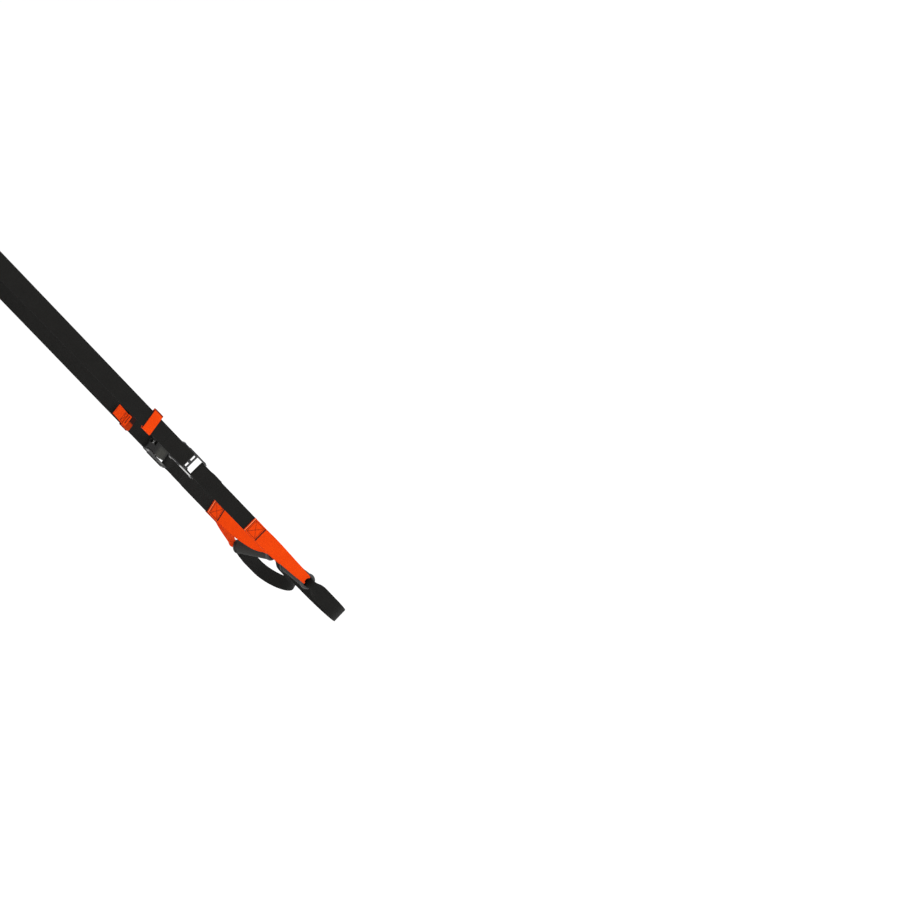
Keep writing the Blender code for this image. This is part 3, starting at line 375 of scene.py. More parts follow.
def steel_material(name, colour, rough, metallic, wear, patches=()):
    """Zinc-plated or coated steel, with brushed variation, small scratches and worn edges.

    A patch is a tint inside its limits. A limit is a plane, given by a point and the way in, and a fade.
    """
    n = Nodes(bpy.data.materials.new(name))
    n.put(n.shader, "Specular IOR Level", 0.3 if metallic == 0 and rough > 0.5 else 0.5)
    place = n.place()
    stretch = n.add("ShaderNodeMapping", {"Vector": place, "Scale": (1.0, 1.0, 0.06)})
    brushed = n.noise(stretch.outputs[0], 1800.0, 3.0, 0.6)
    cloud = n.noise(place, 90.0, 4.0, 0.6)
    specks = n.ramp(n.noise(place, 700.0, 4.0, 0.75), 0.64, 0.78)
    bevel = n.add("ShaderNodeBevel", {"Radius": STEEL_BEVEL}, samples=6).outputs[0]
    turn = n.dot(bevel, n.add("ShaderNodeNewGeometry").outputs["Normal"])
    edge = n.times(n.ramp(turn, 0.995, 0.90), n.ramp(cloud, 0.35, 0.65, 0.4, 1.0))
    tint = n.mix(n.ramp(cloud, 0.3, 0.75), colour, tuple(c * 0.74 for c in colour[:3]) + (1.0,))
    worn = n.math("MAXIMUM", n.times(edge, 0.75), n.times(specks, 0.12))
    tint = n.mix(worn, tint, wear)
    for limits, share, patch in patches:
        inside = n.ramp(cloud, 0.30, 0.60, share * 0.8, share)
        for point, way, fade in limits:
            start = point.dot(way)
            inside = n.times(inside, n.ramp(n.dot(place, tuple(way)), start, start + fade))
        tint = n.mix(inside, tint, patch)
    roughness = n.ramp(brushed, 0.25, 0.8, rough - 0.08, rough + 0.12)
    normal = n.bump(brushed, distance=0.00004, strength=0.35, normal=bevel)
    return n.finish(tint, roughness, normal, metallic)


def foam_material(name):
    """Closed-cell foam: fine open pores, cloudy patches and lighter scuffs."""
    n = Nodes(bpy.data.materials.new(name))
    place = n.place()
    cells = n.add("ShaderNodeTexVoronoi", {"Vector": place, "Scale": 1500.0}, feature="F1")
    pores = n.ramp(cells.outputs["Distance"], 0.05, 0.45)
    cloud = n.noise(place, 60.0, 4.0, 0.6)
    scuff = n.ramp(n.noise(place, 240.0, 4.0, 0.7), 0.56, 0.74)
    # Pores are darker than the cells around them: painted shade in the pits.
    pore_tint, cell_tint = (0.008, 0.008, 0.0075, 1.0), (0.025, 0.025, 0.023, 1.0)
    scuff_tint, cloud_tint = (0.055, 0.054, 0.050, 1.0), (0.014, 0.014, 0.013, 1.0)
    tint = n.mix(pores, pore_tint, cell_tint)
    tint = n.mix(n.times(scuff, 0.35), tint, scuff_tint)
    tint = n.mix(n.times(n.ramp(cloud, 0.45, 0.8), 0.3), tint, cloud_tint)
    height = n.math("ADD", n.times(pores, 0.7), n.times(cloud, 0.6))
    n.put(n.shader, "Specular IOR Level", 0.22)
    return n.finish(tint, n.ramp(pores, 0.0, 1.0, 0.95, 0.80), n.bump(height, distance=0.00025, strength=0.7))


def plastic_material(name):
    """Moulded black plastic with a fine spark-eroded grain."""
    n = Nodes(bpy.data.materials.new(name))
    place = n.place()
    grain = n.noise(place, 2400.0, 3.0, 0.6)
    cloud = n.noise(place, 120.0, 3.0)
    tint = n.mix(n.ramp(cloud, 0.4, 0.8), (0.018, 0.018, 0.018, 1.0), (0.034, 0.034, 0.034, 1.0))
    return n.finish(tint, n.ramp(cloud, 0.3, 0.7, 0.38, 0.55), n.bump(grain, distance=0.00005, strength=0.5))


def side_limits(prefix, limits):
    """A patch's limits, whose points and directions are given in a side's own frame."""
    lie = side_frame(prefix)
    return [(lie @ Vector(point), lie.to_3x3() @ Vector(way), fade) for point, way, fade in limits]


def buckle_material(prefix, rough, glint, depth, depth_way, low, high):
    """Coated steel, with a painted glint along one edge of the flange that faces the camera."""
    way = -SIDES[prefix][0]
    limits = side_limits(prefix, [
        ((0, way * (FLANGE_INNER_Y + SEAT_GAP), 0), (0, way, 0), SEAT_GAP),
        ((depth, 0, 0), (depth_way, 0, 0), GLINT_SIDE_FADE),
        ((0, 0, BAR_Z + low), (0, 0, 1), GLINT_END_FADE),
        ((0, 0, BAR_Z + high), (0, 0, -1), GLINT_END_FADE),
    ])
    return steel_material(prefix + "coated_steel_look", (0.014, 0.014, 0.0145, 1), rough, metallic=0.0,
                          wear=(0.22, 0.22, 0.215, 1), patches=[(limits, 0.95, glint)])


# Limits of the lever's worn middle, each a point, the way in and a fade
LEVER_WEAR = (((0, 0, BAR_Z + 0.020), (0, 0, 1), 0.010),
              ((0, 0, BAR_Z + 0.052), (0, 0, -1), 0.012),
              ((0, -0.010, 0), (0, 1, 0), 0.014))


def lever_material(prefix):
    """Dark lever, paler with wear over its middle."""
    limits = side_limits(prefix, LEVER_WEAR)
    return steel_material(prefix + "lever_steel_look", (0.0075, 0.0075, 0.0075, 1), rough=0.60, metallic=0.0,
                          wear=(0.16, 0.16, 0.155, 1), patches=[(limits, 0.9, (0.040, 0.040, 0.034, 1))])


# Materials

# The black webbing's darker edge colour is painted shade on its selvedges.
black = webbing_material("black_webbing_look", deep=(0.0026, 0.0025, 0.0022, 1),
                         face=(0.0130, 0.0125, 0.0112, 1), dusty=(0.060, 0.057, 0.053, 1),
                         width=WEBBING_WIDTH, edge=(0.006, 0.006, 0.006, 1))
orange_tape = orange_material("orange_tape_look", PULL_WIDTH)
black_thread = thread_material("black_thread_look", (0.0025, 0.0025, 0.0025, 1), (0.012, 0.011, 0.010, 1))
brown_thread = thread_material("brown_thread_look", (0.010, 0.002, 0.001, 1), (0.035, 0.006, 0.003, 1))
grey_thread = thread_material("grey_thread_look", (0.02, 0.02, 0.02, 1), (0.055, 0.055, 0.052, 1))
zinc = steel_material("zinc_steel_look", (0.34, 0.34, 0.335, 1), rough=0.30, metallic=1.0,
                      wear=(0.58, 0.58, 0.57, 1))
pin_steel = steel_material("pin_steel_look", (0.30, 0.30, 0.29, 1), rough=0.34, metallic=1.0,
                           wear=(0.6, 0.6, 0.6, 1))
# The paler tint given to each buckle is a painted glint on the flange that faces the camera.
BUCKLE_LOOKS = {
    "right_": buckle_material("right_", rough=0.26, glint=(0.58, 0.58, 0.57, 1), depth=-0.0040, depth_way=1,
                              low=0.002, high=0.044),
    "left_": buckle_material("left_", rough=0.55, glint=(0.12, 0.12, 0.115, 1), depth=-0.0100, depth_way=-1,
                             low=0.004, high=0.026),
}
foam = foam_material("foam_look")
plastic = plastic_material("plastic_look")


# Paths

def rounded(corners, closed=False, step=math.radians(6.0)):
    """Points of a path through (a, b, radius) corners, with each corner rounded by its radius."""
    points = []
    count = len(corners)
    for index, (a, b, radius) in enumerate(corners):
        here = Vector((a, b))
        if radius == 0 or (not closed and index in (0, count - 1)):
            points.append(here)
            continue
        before = (Vector(corners[index - 1][:2]) - here).normalized()
        after = (Vector(corners[(index + 1) % count][:2]) - here).normalized()
        half = before.angle(after) / 2
        centre = here + (before + after).normalized() * radius / math.sin(half)
        start = here + before * radius / math.tan(half) - centre
        sweep = math.pi - 2 * half
        turn = 1.0 if before.cross(after) < 0 else -1.0
        pieces = max(1, math.ceil(sweep / step - 0.01))
        for piece in range(pieces + 1):
            points.append(centre + Matrix.Rotation(turn * sweep * piece / pieces, 2) @ start)
    apart = [points[0]]
    for point in points[1:]:
        if (point - apart[-1]).length > SEAT_GAP / 10:
            apart.append(point)
    return apart


def spaced(points, step, closed=False):
    """Adds points so that none are further apart than a step."""
    result = []
    count = len(points)
    for index in range(count if closed else count - 1):
        first, second = points[index], points[(index + 1) % count]
        pieces = max(1, math.ceil((second - first).length / step))
        result += [first.lerp(second, piece / pieces) for piece in range(pieces)]
    if not closed:
        result.append(points[-1])
    return result


def refined(points, step_at):
    """Points along a path, no further apart than the step wanted at each place."""
    result = [points[0]]
    for first, second in zip(points, points[1:]):
        span = (second - first).length
        done = step_at(result[-1])
        while done < span * 0.999:
            result.append(first.lerp(second, done / span))
            done += step_at(result[-1])
        result.append(second)
    return result


AXES = {"XZ": (Vector((1, 0, 0)), Vector((0, 0, 1)), Vector((0, 1, 0))),
        "XY": (Vector((1, 0, 0)), Vector((0, 1, 0)), Vector((0, 0, 1)))}


class Band:
    """Webbing along a path. It gives its mesh, and the place of any point on its faces."""

    def __init__(self, points, shape, closed=False, plane="XZ", wave=STRAP_WAVE, seed=0.0, lie=Matrix()):
        self.points = points
        self.shape = shape
        self.closed = closed
        self.axis_a, self.axis_b, self.across_axis = AXES[plane]
        self.wave = wave
        self.seed = seed
        self.lie = lie
        self.relief = None
        self.sway = None
        self.lengths = [0.0]
        count = len(points)
        for index in range(count if closed else count - 1):
            gap = (points[(index + 1) % count] - points[index]).length
            self.lengths.append(self.lengths[-1] + gap)
        self.total = self.lengths[-1]
        self.outs = []
        for index, point in enumerate(points):
            before = points[index - 1] if closed or index else point
            after = points[(index + 1) % count] if closed or index < count - 1 else point
            along = (after - before).normalized()
            self.outs.append(Vector((along.y, -along.x)))

    def station(self, index, across, offset):
        """Place and outward normal at a station, at a distance across and off the middle surface."""
        point, out = self.points[index], self.outs[index]
        width, _, cup, turn, pleat = self.shape(self.lengths[index], point)
        angle = across * cup / WEBBING_RUN_RADIUS
        y = across if cup == 0 else math.sin(angle) * WEBBING_RUN_RADIUS / cup
        rise = 0.0 if cup == 0 else (math.cos(angle) - 1) * WEBBING_RUN_RADIUS / cup
        if pleat:
            rise += pleat * math.cos(across / width * PLEAT_COUNT * math.pi)
        along = self.lengths[index]
        if self.wave and not cup:
            sample = Vector((across * WAVES_ACROSS + self.seed, along * WAVES_ALONG, self.seed * 3.1))
            rise += self.wave * noise.noise(sample)
        if self.relief:
            rise += self.relief(along, across)
        if self.sway:
            y += self.sway(point)
        y += offset * math.sin(angle)
        rise += offset * math.cos(angle)
        flat = self.axis_a * (point.x + out.x * rise) + self.axis_b * (point.y + out.y * rise)
        place = flat + self.across_axis * y
        outward = self.axis_a * out.x + self.axis_b * out.y
        normal = outward * math.cos(angle) + self.across_axis * math.sin(angle)
        if turn:
            spin = Matrix.Rotation(turn, 3, "Z")
            place, normal = spin @ place, spin @ normal
        return self.lie @ place, self.lie.to_3x3() @ normal

    def size_at(self, index):
        """Width and thickness at a station."""
        return self.shape(self.lengths[index], self.points[index])[:2]

    def on_face(self, length, across, face, lift=0.0):
        """Place and normal on a face: face is 1 on the path's right-hand side and -1 on the other."""
        length = length % self.total if self.closed else min(max(length, 0.0), self.total)
        index = 0
        while index < len(self.points) - 1 and self.lengths[index + 1] < length:
            index += 1
        span = self.lengths[index + 1] - self.lengths[index] if index + 1 < len(self.lengths) else 1.0
        share = (length - self.lengths[index]) / span if span else 0.0
        following = (index + 1) % len(self.points)
        thickness = self.size_at(index)[1]
        offset = face * (thickness / 2 + lift)
        first, normal = self.station(index, across, offset)
        second, other = self.station(following, across, offset)
        return first.lerp(second, share), (normal.lerp(other, share) * face).normalized()

    def length_at(self, height, start=0.0):
        """Length along the path at which it first reaches a height, after a start."""
        for index in range(len(self.points) - 1):
            if self.lengths[index] < start:
                continue
            low, high = sorted((self.points[index].y, self.points[index + 1].y))
            if low <= height <= high:
                span = self.points[index + 1].y - self.points[index].y
                share = (height - self.points[index].y) / span if span else 0.0
                return self.lengths[index] + share * (self.lengths[index + 1] - self.lengths[index])
        return self.total

    def mesh(self, strips=14):
        """The band as a mesh with rounded selvedges and its weave coordinates."""
        made = bmesh.new()
        weave = made.loops.layers.uv.new("weave")
        rings, coordinates = [], []
        count = len(self.points)
        for index in range(count):
            width, thickness = self.size_at(index)
            half, edge = width / 2, thickness / 2
            across = []
            for step in range(4):
                angle = math.pi / 2 * step / 3
                across.append((-half + edge * (1 - math.cos(angle)), edge * math.sin(angle)))
            for strip in range(1, strips):
                across.append((-half + edge + (width - thickness) * strip / strips, edge))
            across += [(-a, t) for a, t in reversed(across[:4])]
            across = [(a, self.profile(a, t, half, edge)) for a, t in across]
            line = across + [(a, -t) for a, t in reversed(across[1:-1])]
            ring = [made.verts.new(self.station(index, a, t)[0]) for a, t in line]
            rings.append(ring)
            coordinates.append([a for a, t in line])
        size = len(rings[0])
        for index in range(count if self.closed else count - 1):
            following = (index + 1) % count
            for corner in range(size):
                after = (corner + 1) % size
                face = made.faces.new((rings[index][corner], rings[index][after],
                                       rings[following][after], rings[following][corner]))
                face.smooth = True
                values = ((corner, index, index), (after, index, index),
                          (after, following, index + 1), (corner, following, index + 1))
                for loop, (at, ring, length) in zip(face.loops, values):
                    loop[weave].uv = (coordinates[ring][at] * MM, self.lengths[length] * MM)
        if not self.closed:
            for ring in (rings[0], rings[-1]):
                made.faces.new(ring)
        bmesh.ops.recalc_face_normals(made, faces=made.faces[:])
        return made

    def profile(self, across, thickness, half, edge):
        """Height of a point on the face, with a shallow groove beside each selvedge."""
        beyond = abs(across) - (half - SELVEDGE_WIDTH)
        groove = GROOVE_DEPTH * math.exp(-(beyond / GROOVE_WIDTH) ** 2)
        return max(thickness - groove, 0.0) if thickness >= edge else thickness


def join_rings(made, ring, following, is_round=True):
    """Faces between two rings of points."""
    count = len(ring)
    for side in range(count):
        after = (side + 1) % count
        face = made.faces.new((ring[side], ring[after], following[after], following[side]))
        face.smooth = is_round


def add_object(name, data):
    """Adds an object to the scene."""
    added = bpy.data.objects.new(name, data)
    bpy.context.scene.collection.objects.link(added)
    return added


def add_mesh(name, made, surface):
    """Adds a finished mesh with its material."""
    mesh = bpy.data.meshes.new(name)
    made.to_mesh(mesh)
    made.free()
    mesh.materials.append(surface)
    return add_object(name, mesh)


def add_piece(prefix, name, made, surface, body, slot="black_webbing", replaced=None, lie=None):
    """Adds a mesh written in a side's frame as a piece on a body of that side. A piece given two bodies is
    left in the world on no body.
    """
    made.transform(side_frame(prefix) if lie is None else lie)
    piece = add_mesh(prefix + name, made, surface)
    if isinstance(body, tuple):
        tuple(body[2])
        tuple(body[3])
        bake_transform(piece)
    else:
        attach(piece, prefix + body)
    if replaced:
        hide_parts(prefix + replaced)
    return piece


# Stitching

STITCH_ROW_GAP = 0.0011
STITCH_PITCH = 0.0030
STITCH_SHIFT = 0.00012
THREAD_RADIUS = 0.00032
FINE_THREAD_RADIUS = 0.0003
TACK_HEIGHT = 0.0030
TACK_PITCH = 0.00105
TACK_RADIUS = 0.00038


def add_stitch(made, band, face, first, second, radius, sides=6, steps=5):
    """One raised stitch between two (length, across) points of a band's face, sunk at both ends."""
    rings = []
    start, end = Vector(first), Vector(second)
    for step in range(steps + 1):
        share = step / steps
        here = start.lerp(end, share)
        lift = radius * (0.9 * math.sin(math.pi * share) ** 0.5 - 0.75)
        place, normal = band.on_face(here.x, here.y, face, lift)
        ahead = start.lerp(end, min(share + 0.1, 1.0))
        behind = start.lerp(end, max(share - 0.1, 0.0))
        along = band.on_face(ahead.x, ahead.y, face)[0] - band.on_face(behind.x, behind.y, face)[0]
        sideways = along.normalized().cross(normal).normalized()
        swell = radius * (0.55 + 0.45 * math.sin(math.pi * share) ** 0.5)
        ring = []
        for side in range(sides):
            angle = 2 * math.pi * side / sides
            outward = sideways * math.cos(angle) + normal * math.sin(angle)
            ring.append(made.verts.new(place + outward * swell))
        rings.append(ring)
    for ring, following in zip(rings, rings[1:]):
        join_rings(made, ring, following)
    made.faces.new(rings[0])
    made.faces.new(rings[-1])


def stitch_line(made, band, face, first, second, wander):
    """A row of running stitches."""
    start, end = Vector(first), Vector(second)
    count = max(1, round((end - start).length / STITCH_PITCH))
    for index in range(count):
        low, high = start.lerp(end, (index + 0.07) / count), start.lerp(end, (index + 0.93) / count)
        shift = Vector((wander.uniform(-1, 1), wander.uniform(-1, 1))) * STITCH_SHIFT
        add_stitch(made, band, face, low + shift, high + shift, THREAD_RADIUS)


def bar_tack(made, band, face, centre, half_width, height=TACK_HEIGHT, radius=TACK_RADIUS):
    """A dense zigzag across the webbing."""
    for index in range(int(2 * half_width / TACK_PITCH)):
        across = -half_width + TACK_PITCH * (index + 0.5)
        way = height / 2 if index % 2 else -height / 2
        add_stitch(made, band, face, (centre - way, across - TACK_PITCH / 2),
                   (centre + way, across + TACK_PITCH / 2), radius, steps=4)


def crossed_box(made, band, face, start, end, half_width, wander, rows=1):
    """A sewn rectangle with a cross in it, in one row of stitches or in two close ones."""
    places = ((start, -half_width), (start, half_width), (end, half_width), (end, -half_width))
    corners = [Vector(place) for place in places]
    lines = [(corners[index], corners[(index + 1) % 4]) for index in range(4)]
    lines += [(corners[0], corners[2]), (corners[1], corners[3])]
    for first, second in lines:
        aside = (second - first).normalized().orthogonal() * STITCH_ROW_GAP
        for row in range(rows):
            shift = aside * (row - (rows - 1) / 2)
            stitch_line(made, band, face, first + shift, second + shift, wander=wander)


def finish_stitches(prefix, name, made, surface, body):
    """Adds a side's collected stitches as one piece."""
    bmesh.ops.recalc_face_normals(made, faces=made.faces[:])
    add_piece(prefix, name, made, surface, body)


# Webbing pieces of one side

def plain(width, thickness):
    """Shape of a band with one width and thickness, and no cup, turn or pleat."""
    return lambda length, point: (width, thickness, 0.0, 0.0, 0.0)


def strap_band(prefix):
    """Main strap, from its loop on the carabiner to the turn round the clamp edge."""
    turn_radius = ROD_RADIUS + RUNNING_GAP + FOLDED_THICKNESS / 2
    seam_x = FOLDED_THICKNESS / 2 + SEAT_GAP / 2
    corners = [
        (-seam_x, -LOOP_SEAM_END, 0),
        (-seam_x, -LOOP_SEAM_TOP, LOOP_SEAM_TOP),
        (-turn_radius, -turn_radius, turn_radius),
        (-turn_radius, turn_radius, turn_radius),
        (turn_radius, turn_radius, turn_radius),
        (turn_radius, -turn_radius, turn_radius),
        (seam_x, -LOOP_SEAM_TOP, LOOP_SEAM_TOP),
        (seam_x, -LOOP_SEAM_END, 0),
        (MAIN_X, -FLAT_START, 0),
        (MAIN_X, CLAMP_Z - CLAMP_TURN_RADIUS, CLAMP_TURN_RADIUS),
        (TAIL_X, CLAMP_Z - CLAMP_TURN_RADIUS, CLAMP_TURN_RADIUS),
        (TAIL_X, CLAMP_Z, 0),
    ]
    turn = -SIDES[prefix][1]

    def shape(length, point):
        opened = smooth((-point.y - LOOP_SEAM_END) / (FLAT_START - LOOP_SEAM_END))
        width = FOLDED_WIDTH + (WEBBING_WIDTH - FOLDED_WIDTH) * opened
        thickness = FOLDED_THICKNESS + (WEBBING_THICKNESS - FOLDED_THICKNESS) * opened
        return width, thickness, 0.0, turn * (1 - opened), 0.0

    def step_at(point):
        return FINE_STEP if abs(point.y - CREASE_Z) < CREASE_REACH else STRAP_STEP

    made = Band(refined(rounded(corners), step_at), shape, seed=3.0 + SIDES[prefix][0])
    crease = made.length_at(CREASE_Z, made.length_at(-FLAT_START, FRONT_AFTER))

    def relief(length, across):
        groove = math.exp(-((length - crease) / CREASE_WIDTH) ** 2)
        return CREASE_DEPTH * groove * smooth((CREASE_END - abs(across)) / CREASE_FADE)

    made.relief = relief
    return made


def tail_band(prefix):
    """Strap's tail, from the clamp edge up to the top of the tab."""
    top = TAB_Z - TAB_DROPS[prefix] + TAB_HEIGHT / 2
    points = [Vector((TAIL_X, CLAMP_Z + SEAT_GAP)), Vector((TAIL_X, top))]
    return Band(spaced(points, STRAP_STEP), plain(WEBBING_WIDTH, WEBBING_THICKNESS),
                seed=7.0 + SIDES[prefix][0])


def tab_loop_band(prefix):
    """Orange keeper round both layers, as a closed tape."""
    middle = RUNNING_GAP + TAB_THICKNESS / 2
    front = MAIN_X + WEBBING_THICKNESS / 2 + middle
    back = TAIL_FACE_X - middle
    half = WEBBING_WIDTH / 2 + TAB_SLACK + TAB_THICKNESS / 2
    shift, slope = LOOP_LIES[prefix]
    places = ((back, -half), (front, -half), (front, half), (back, half))
    corners = [(x, y, KEEPER_CORNER) for x, y in places]
    points = spaced(rounded(corners, closed=True, step=KEEPER_TURN_STEP), BAND_STEP, closed=True)
    rise = -SIDES[prefix][0] * (TAB_HEIGHT - KEEPER_HEIGHT) / 2
    lie = Matrix.Translation((0, shift, TAB_Z - TAB_DROPS[prefix] + rise))
    lie[2][1] = slope
    return Band(points, plain(KEEPER_HEIGHT, KEEPER_THICKNESS), closed=True, plane="XY", wave=KEEPER_WAVE,
                lie=lie)


def pull_band(prefix):
    """Orange pull over the keeper on the tail's side, with its lower end folded up on itself."""
    seat = TAIL_FACE_X - RUNNING_GAP - TAB_THICKNESS - SEAT_GAP - TAB_THICKNESS / 2
    fold = seat - PULL_FOLD_DEPTH
    low = TAB_Z - TAB_DROPS[prefix] - TAB_HEIGHT / 2 - PULL_OVERHANG
    middle, top = low + PULL_LENGTH / 2, low + PULL_LENGTH - PULL_TOP_DROP
    low += PULL_END_RISE
    corners = [
        (seat, top, 0),
        (seat, low, PULL_FOLD_DEPTH / 2 * PULL_BEND_SHARE),
        (fold, low, PULL_FOLD_DEPTH / 2 * PULL_BEND_SHARE),
        (fold, low + PULL_FOLD_LENGTH / 2, PULL_FOLD_LENGTH / 2),
        (seat - TAB_THICKNESS - SEAT_GAP, low + PULL_FOLD_LENGTH, 0),
    ]

    shift, skew = PULL_LIES[prefix]
    turn = Matrix.Rotation(skew, 4, "X")
    lie = Matrix.Translation((0, shift, middle)) @ turn @ Matrix.Translation((0, 0, -middle))
    return Band(spaced(rounded(corners), BAND_STEP), plain(PULL_WIDTH, TAB_THICKNESS), wave=TAPE_WAVE,
                seed=5.0, lie=lie)


def lower_strap_band():
    """Short strap, from the stitched box up round the lower bar and back down to its step."""
    wrap = LOWER_BAR_RADIUS + RUNNING_GAP + WEBBING_THICKNESS / 2
    layer = WEBBING_THICKNESS / 2 + SEAT_GAP / 2
    bar_x = -LOWER_BAR_DEPTH
    spread = BAR_Z - LAYER_SPREAD_HEIGHT
    corners = [
        (-LOWER_STRAP_SET, BOX_END_Z, 0),
        (-LOWER_STRAP_SET, STEP_Z - LAYER_SPREAD_HEIGHT, LAYER_SPREAD_HEIGHT),
        (bar_x + layer, STEP_Z, LAYER_SPREAD_HEIGHT),
        (bar_x + layer, spread, LAYER_BEND_RADIUS),
        (bar_x + wrap, BAR_Z - wrap, LAYER_BEND_RADIUS),
        (bar_x + wrap, BAR_Z + wrap, wrap),
        (bar_x - wrap, BAR_Z + wrap, wrap),
        (bar_x - wrap, BAR_Z - wrap, LAYER_BEND_RADIUS),
        (bar_x - layer, spread, LAYER_BEND_RADIUS),
        (bar_x - layer, STEP_Z, 0),
    ]

    def shape(length, point):
        folded_back = smooth((spread - point.y) / LAYER_SPREAD_HEIGHT) if point.x < bar_x - layer / 2 else 0.0
        return WEBBING_WIDTH + 2 * DOUBLED_OVERHANG * folded_back, WEBBING_THICKNESS, 0.0, 0.0, 0.0

    return Band(spaced(rounded(corners), BAND_STEP), shape, wave=TAPE_WAVE, seed=11.0)


def rolled_shape(beyond_bore, spread_at, pleats):
    """Webbing rolled in the grip's bore, which spreads flat with a few pleats beyond its ends."""
    def shape(length, point):
        beyond, spread_length = beyond_bore(point), spread_at(point)
        width = WEBBING_RUN_WIDTH + (MOUTH_WIDTH - WEBBING_RUN_WIDTH) * smooth(beyond / MOUTH_LENGTH)
        width += (WEBBING_WIDTH - MOUTH_WIDTH) * smooth(beyond / spread_length)
        pleat = pleats * math.sin(math.pi * min(beyond / spread_length, 1.0)) ** 2
        return width, WEBBING_THICKNESS, 1 - smooth(beyond / CUP_LENGTH), 0.0, pleat
    return shape


def handle_band(prefix):
    """Handle's webbing: down one leg, through the grip and up the other."""
    sewn = WEBBING_THICKNESS + SEAT_GAP
    grip_x, grip_z = GRIP_LIES[prefix]
    bend_z = grip_z + RIM_CENTRE
    run_z = grip_z + WEBBING_RUN_RADIUS
    corners = []
    for side in (1, -1):
        top_x = -LOWER_STRAP_SET + side * sewn
        across, down = CAP_X + side * (grip_x - top_x), BOX_END_Z - bend_z
        slant = math.atan2(across, down) + math.asin(WEBBING_BEND_RADIUS / math.hypot(across, down))
        corner_x = CAP_X + WEBBING_BEND_RADIUS * (1 / math.cos(slant) + math.tan(slant))
        leg = [(top_x, BOX_TOP_Z, 0), (top_x, BOX_END_Z, LEG_BEND_RADIUS),
               (grip_x + side * corner_x, run_z, WEBBING_BEND_RADIUS)]
        corners += leg if side > 0 else list(reversed(leg))

    def beyond_bore(point):
        return max(0.0, abs(point.x - grip_x) - CAP_X) + max(0.0, point.y - run_z)

    def step_at(point):
        below = BOX_TOP_Z - point.y
        if below < HEM_LENGTH + HEM_REACH:
            return FINE_STEP
        return TACK_STEP if abs(below - TACK_PLACE) < TACK_REACH else BAND_STEP

    def is_near(point):
        return prefix == "left_" and point.x < grip_x

    def spread_at(point):
        return LEFT_NEAR_SPREAD if is_near(point) else LEG_SPREAD_LENGTH

    def sway(point):
        share = min(beyond_bore(point) / (BOX_END_Z - run_z), 1.0)
        return LEFT_NEAR_SWAY * math.sin(math.pi * share) if is_near(point) else 0.0

    made = Band(refined(rounded(corners), step_at), rolled_shape(beyond_bore, spread_at, HANDLE_PLEAT),
                wave=HANDLE_WAVE, seed=13.0)
    made.sway = sway

    def relief(length, across):
        below = min(length, made.total - length)
        hem = math.sqrt(max(0.0, 1 - (2 * below / HEM_LENGTH - 1) ** 2))
        return -HEM_RISE * hem + TACK_SINK * math.exp(-((below - TACK_PLACE) / TACK_SINK_WIDTH) ** 2)

    made.relief = relief
    return made


def cradle_band(prefix):
    """Foot cradle: a closed loop through the grip, with its bottom rounded."""
    grip_x, grip_z = GRIP_LIES[prefix]
    run_z = grip_z - WEBBING_RUN_RADIUS
    leg_x = CAP_X + WEBBING_BEND_RADIUS
    bottom = grip_z - CRADLE_DEPTH
    round_end = leg_x * CRADLE_BEND_SHARE
    corners = [(grip_x - leg_x, run_z, WEBBING_BEND_RADIUS), (grip_x + leg_x, run_z, WEBBING_BEND_RADIUS),
               (grip_x + leg_x, bottom, round_end), (grip_x - leg_x, bottom, round_end)]

    def beyond_bore(point):
        return max(0.0, abs(point.x - grip_x) - CAP_X) + max(0.0, run_z - point.y)

    points = spaced(rounded(corners, closed=True), BAND_STEP, closed=True)
    shape = rolled_shape(beyond_bore, lambda point: CRADLE_SPREAD_LENGTH, CRADLE_PLEAT)
    return Band(points, shape, closed=True, wave=HANDLE_WAVE, seed=17.0)


def foam_sleeve(prefix):
    """Foam sleeve with rounded ends and shallow dents."""
    made = bmesh.new()
    grip_x, grip_z = GRIP_LIES[prefix]
    half, edge, sides, stations = TUBE_HALF_LENGTH, FOAM_EDGE, 64, 56
    rings = []
    profile = [(-half, FOAM_INNER)]
    for step in range(7):
        angle = math.pi / 2 * step / 6
        profile.append((-half + edge * (1 - math.cos(angle)), FOAM_OUTER - edge * (1 - math.sin(angle))))
    for step in range(1, stations):
        profile.append((-half + edge + 2 * (half - edge) * step / stations, FOAM_OUTER))
    profile += [(-x, r) for x, r in reversed(profile[:8])]
    for x, radius in profile:
        ring = []
        for side in range(sides):
            angle = 2 * math.pi * side / sides
            dent = 0.0
            if radius > FOAM_INNER:
                sample = Vector((x * 60, math.cos(angle) * 1.4, math.sin(angle) * 1.4))
                dent = FOAM_DENT * (noise.noise(sample) - 0.35) - FOAM_PIT * abs(noise.noise(sample * 4.0))
            r = radius + dent
            ring.append(made.verts.new((grip_x + x, math.cos(angle) * r, grip_z + math.sin(angle) * r)))
        rings.append(ring)
    count = len(rings)
    for index in range(count):
        join_rings(made, rings[index], rings[(index + 1) % count], index not in (0, count - 2, count - 1))
    bmesh.ops.recalc_face_normals(made, faces=made.faces[:])
    return made


def loop_material(prefix, loop):
    """Tape of a keeper, with painted shade where it turns round the strap's edge. The left one is a darker,
    shaded copy of the orange, and near-black painted shade covers the end of its loop.
    """
    turn = max(length for length, point in zip(loop.lengths, loop.points) if point.x > 0 and point.y > 0)
    # Painted shade where the tape turns round the strap's edge.
    zones = [(turn - RIM_BEFORE, turn + RIM_PAST, RIM_FADE, 0.85, ORANGE_SHADE)]
    # The left keeper gets a shaded copy of the orange and near-black painted shade over the end of its loop.
    if prefix == "left_":
        zones.append((loop.total - KEEPER_SHADE_LENGTH, loop.total + KEEPER_SHADE_PAST, KEEPER_SHADE_FADE, 0.96, KEEPER_SHADE_TINT))
        return orange_material("left_keeper_look", KEEPER_HEIGHT, zones, SHADED_DEEP, SHADED_FACE)
    return orange_material("right_keeper_look", KEEPER_HEIGHT, zones)


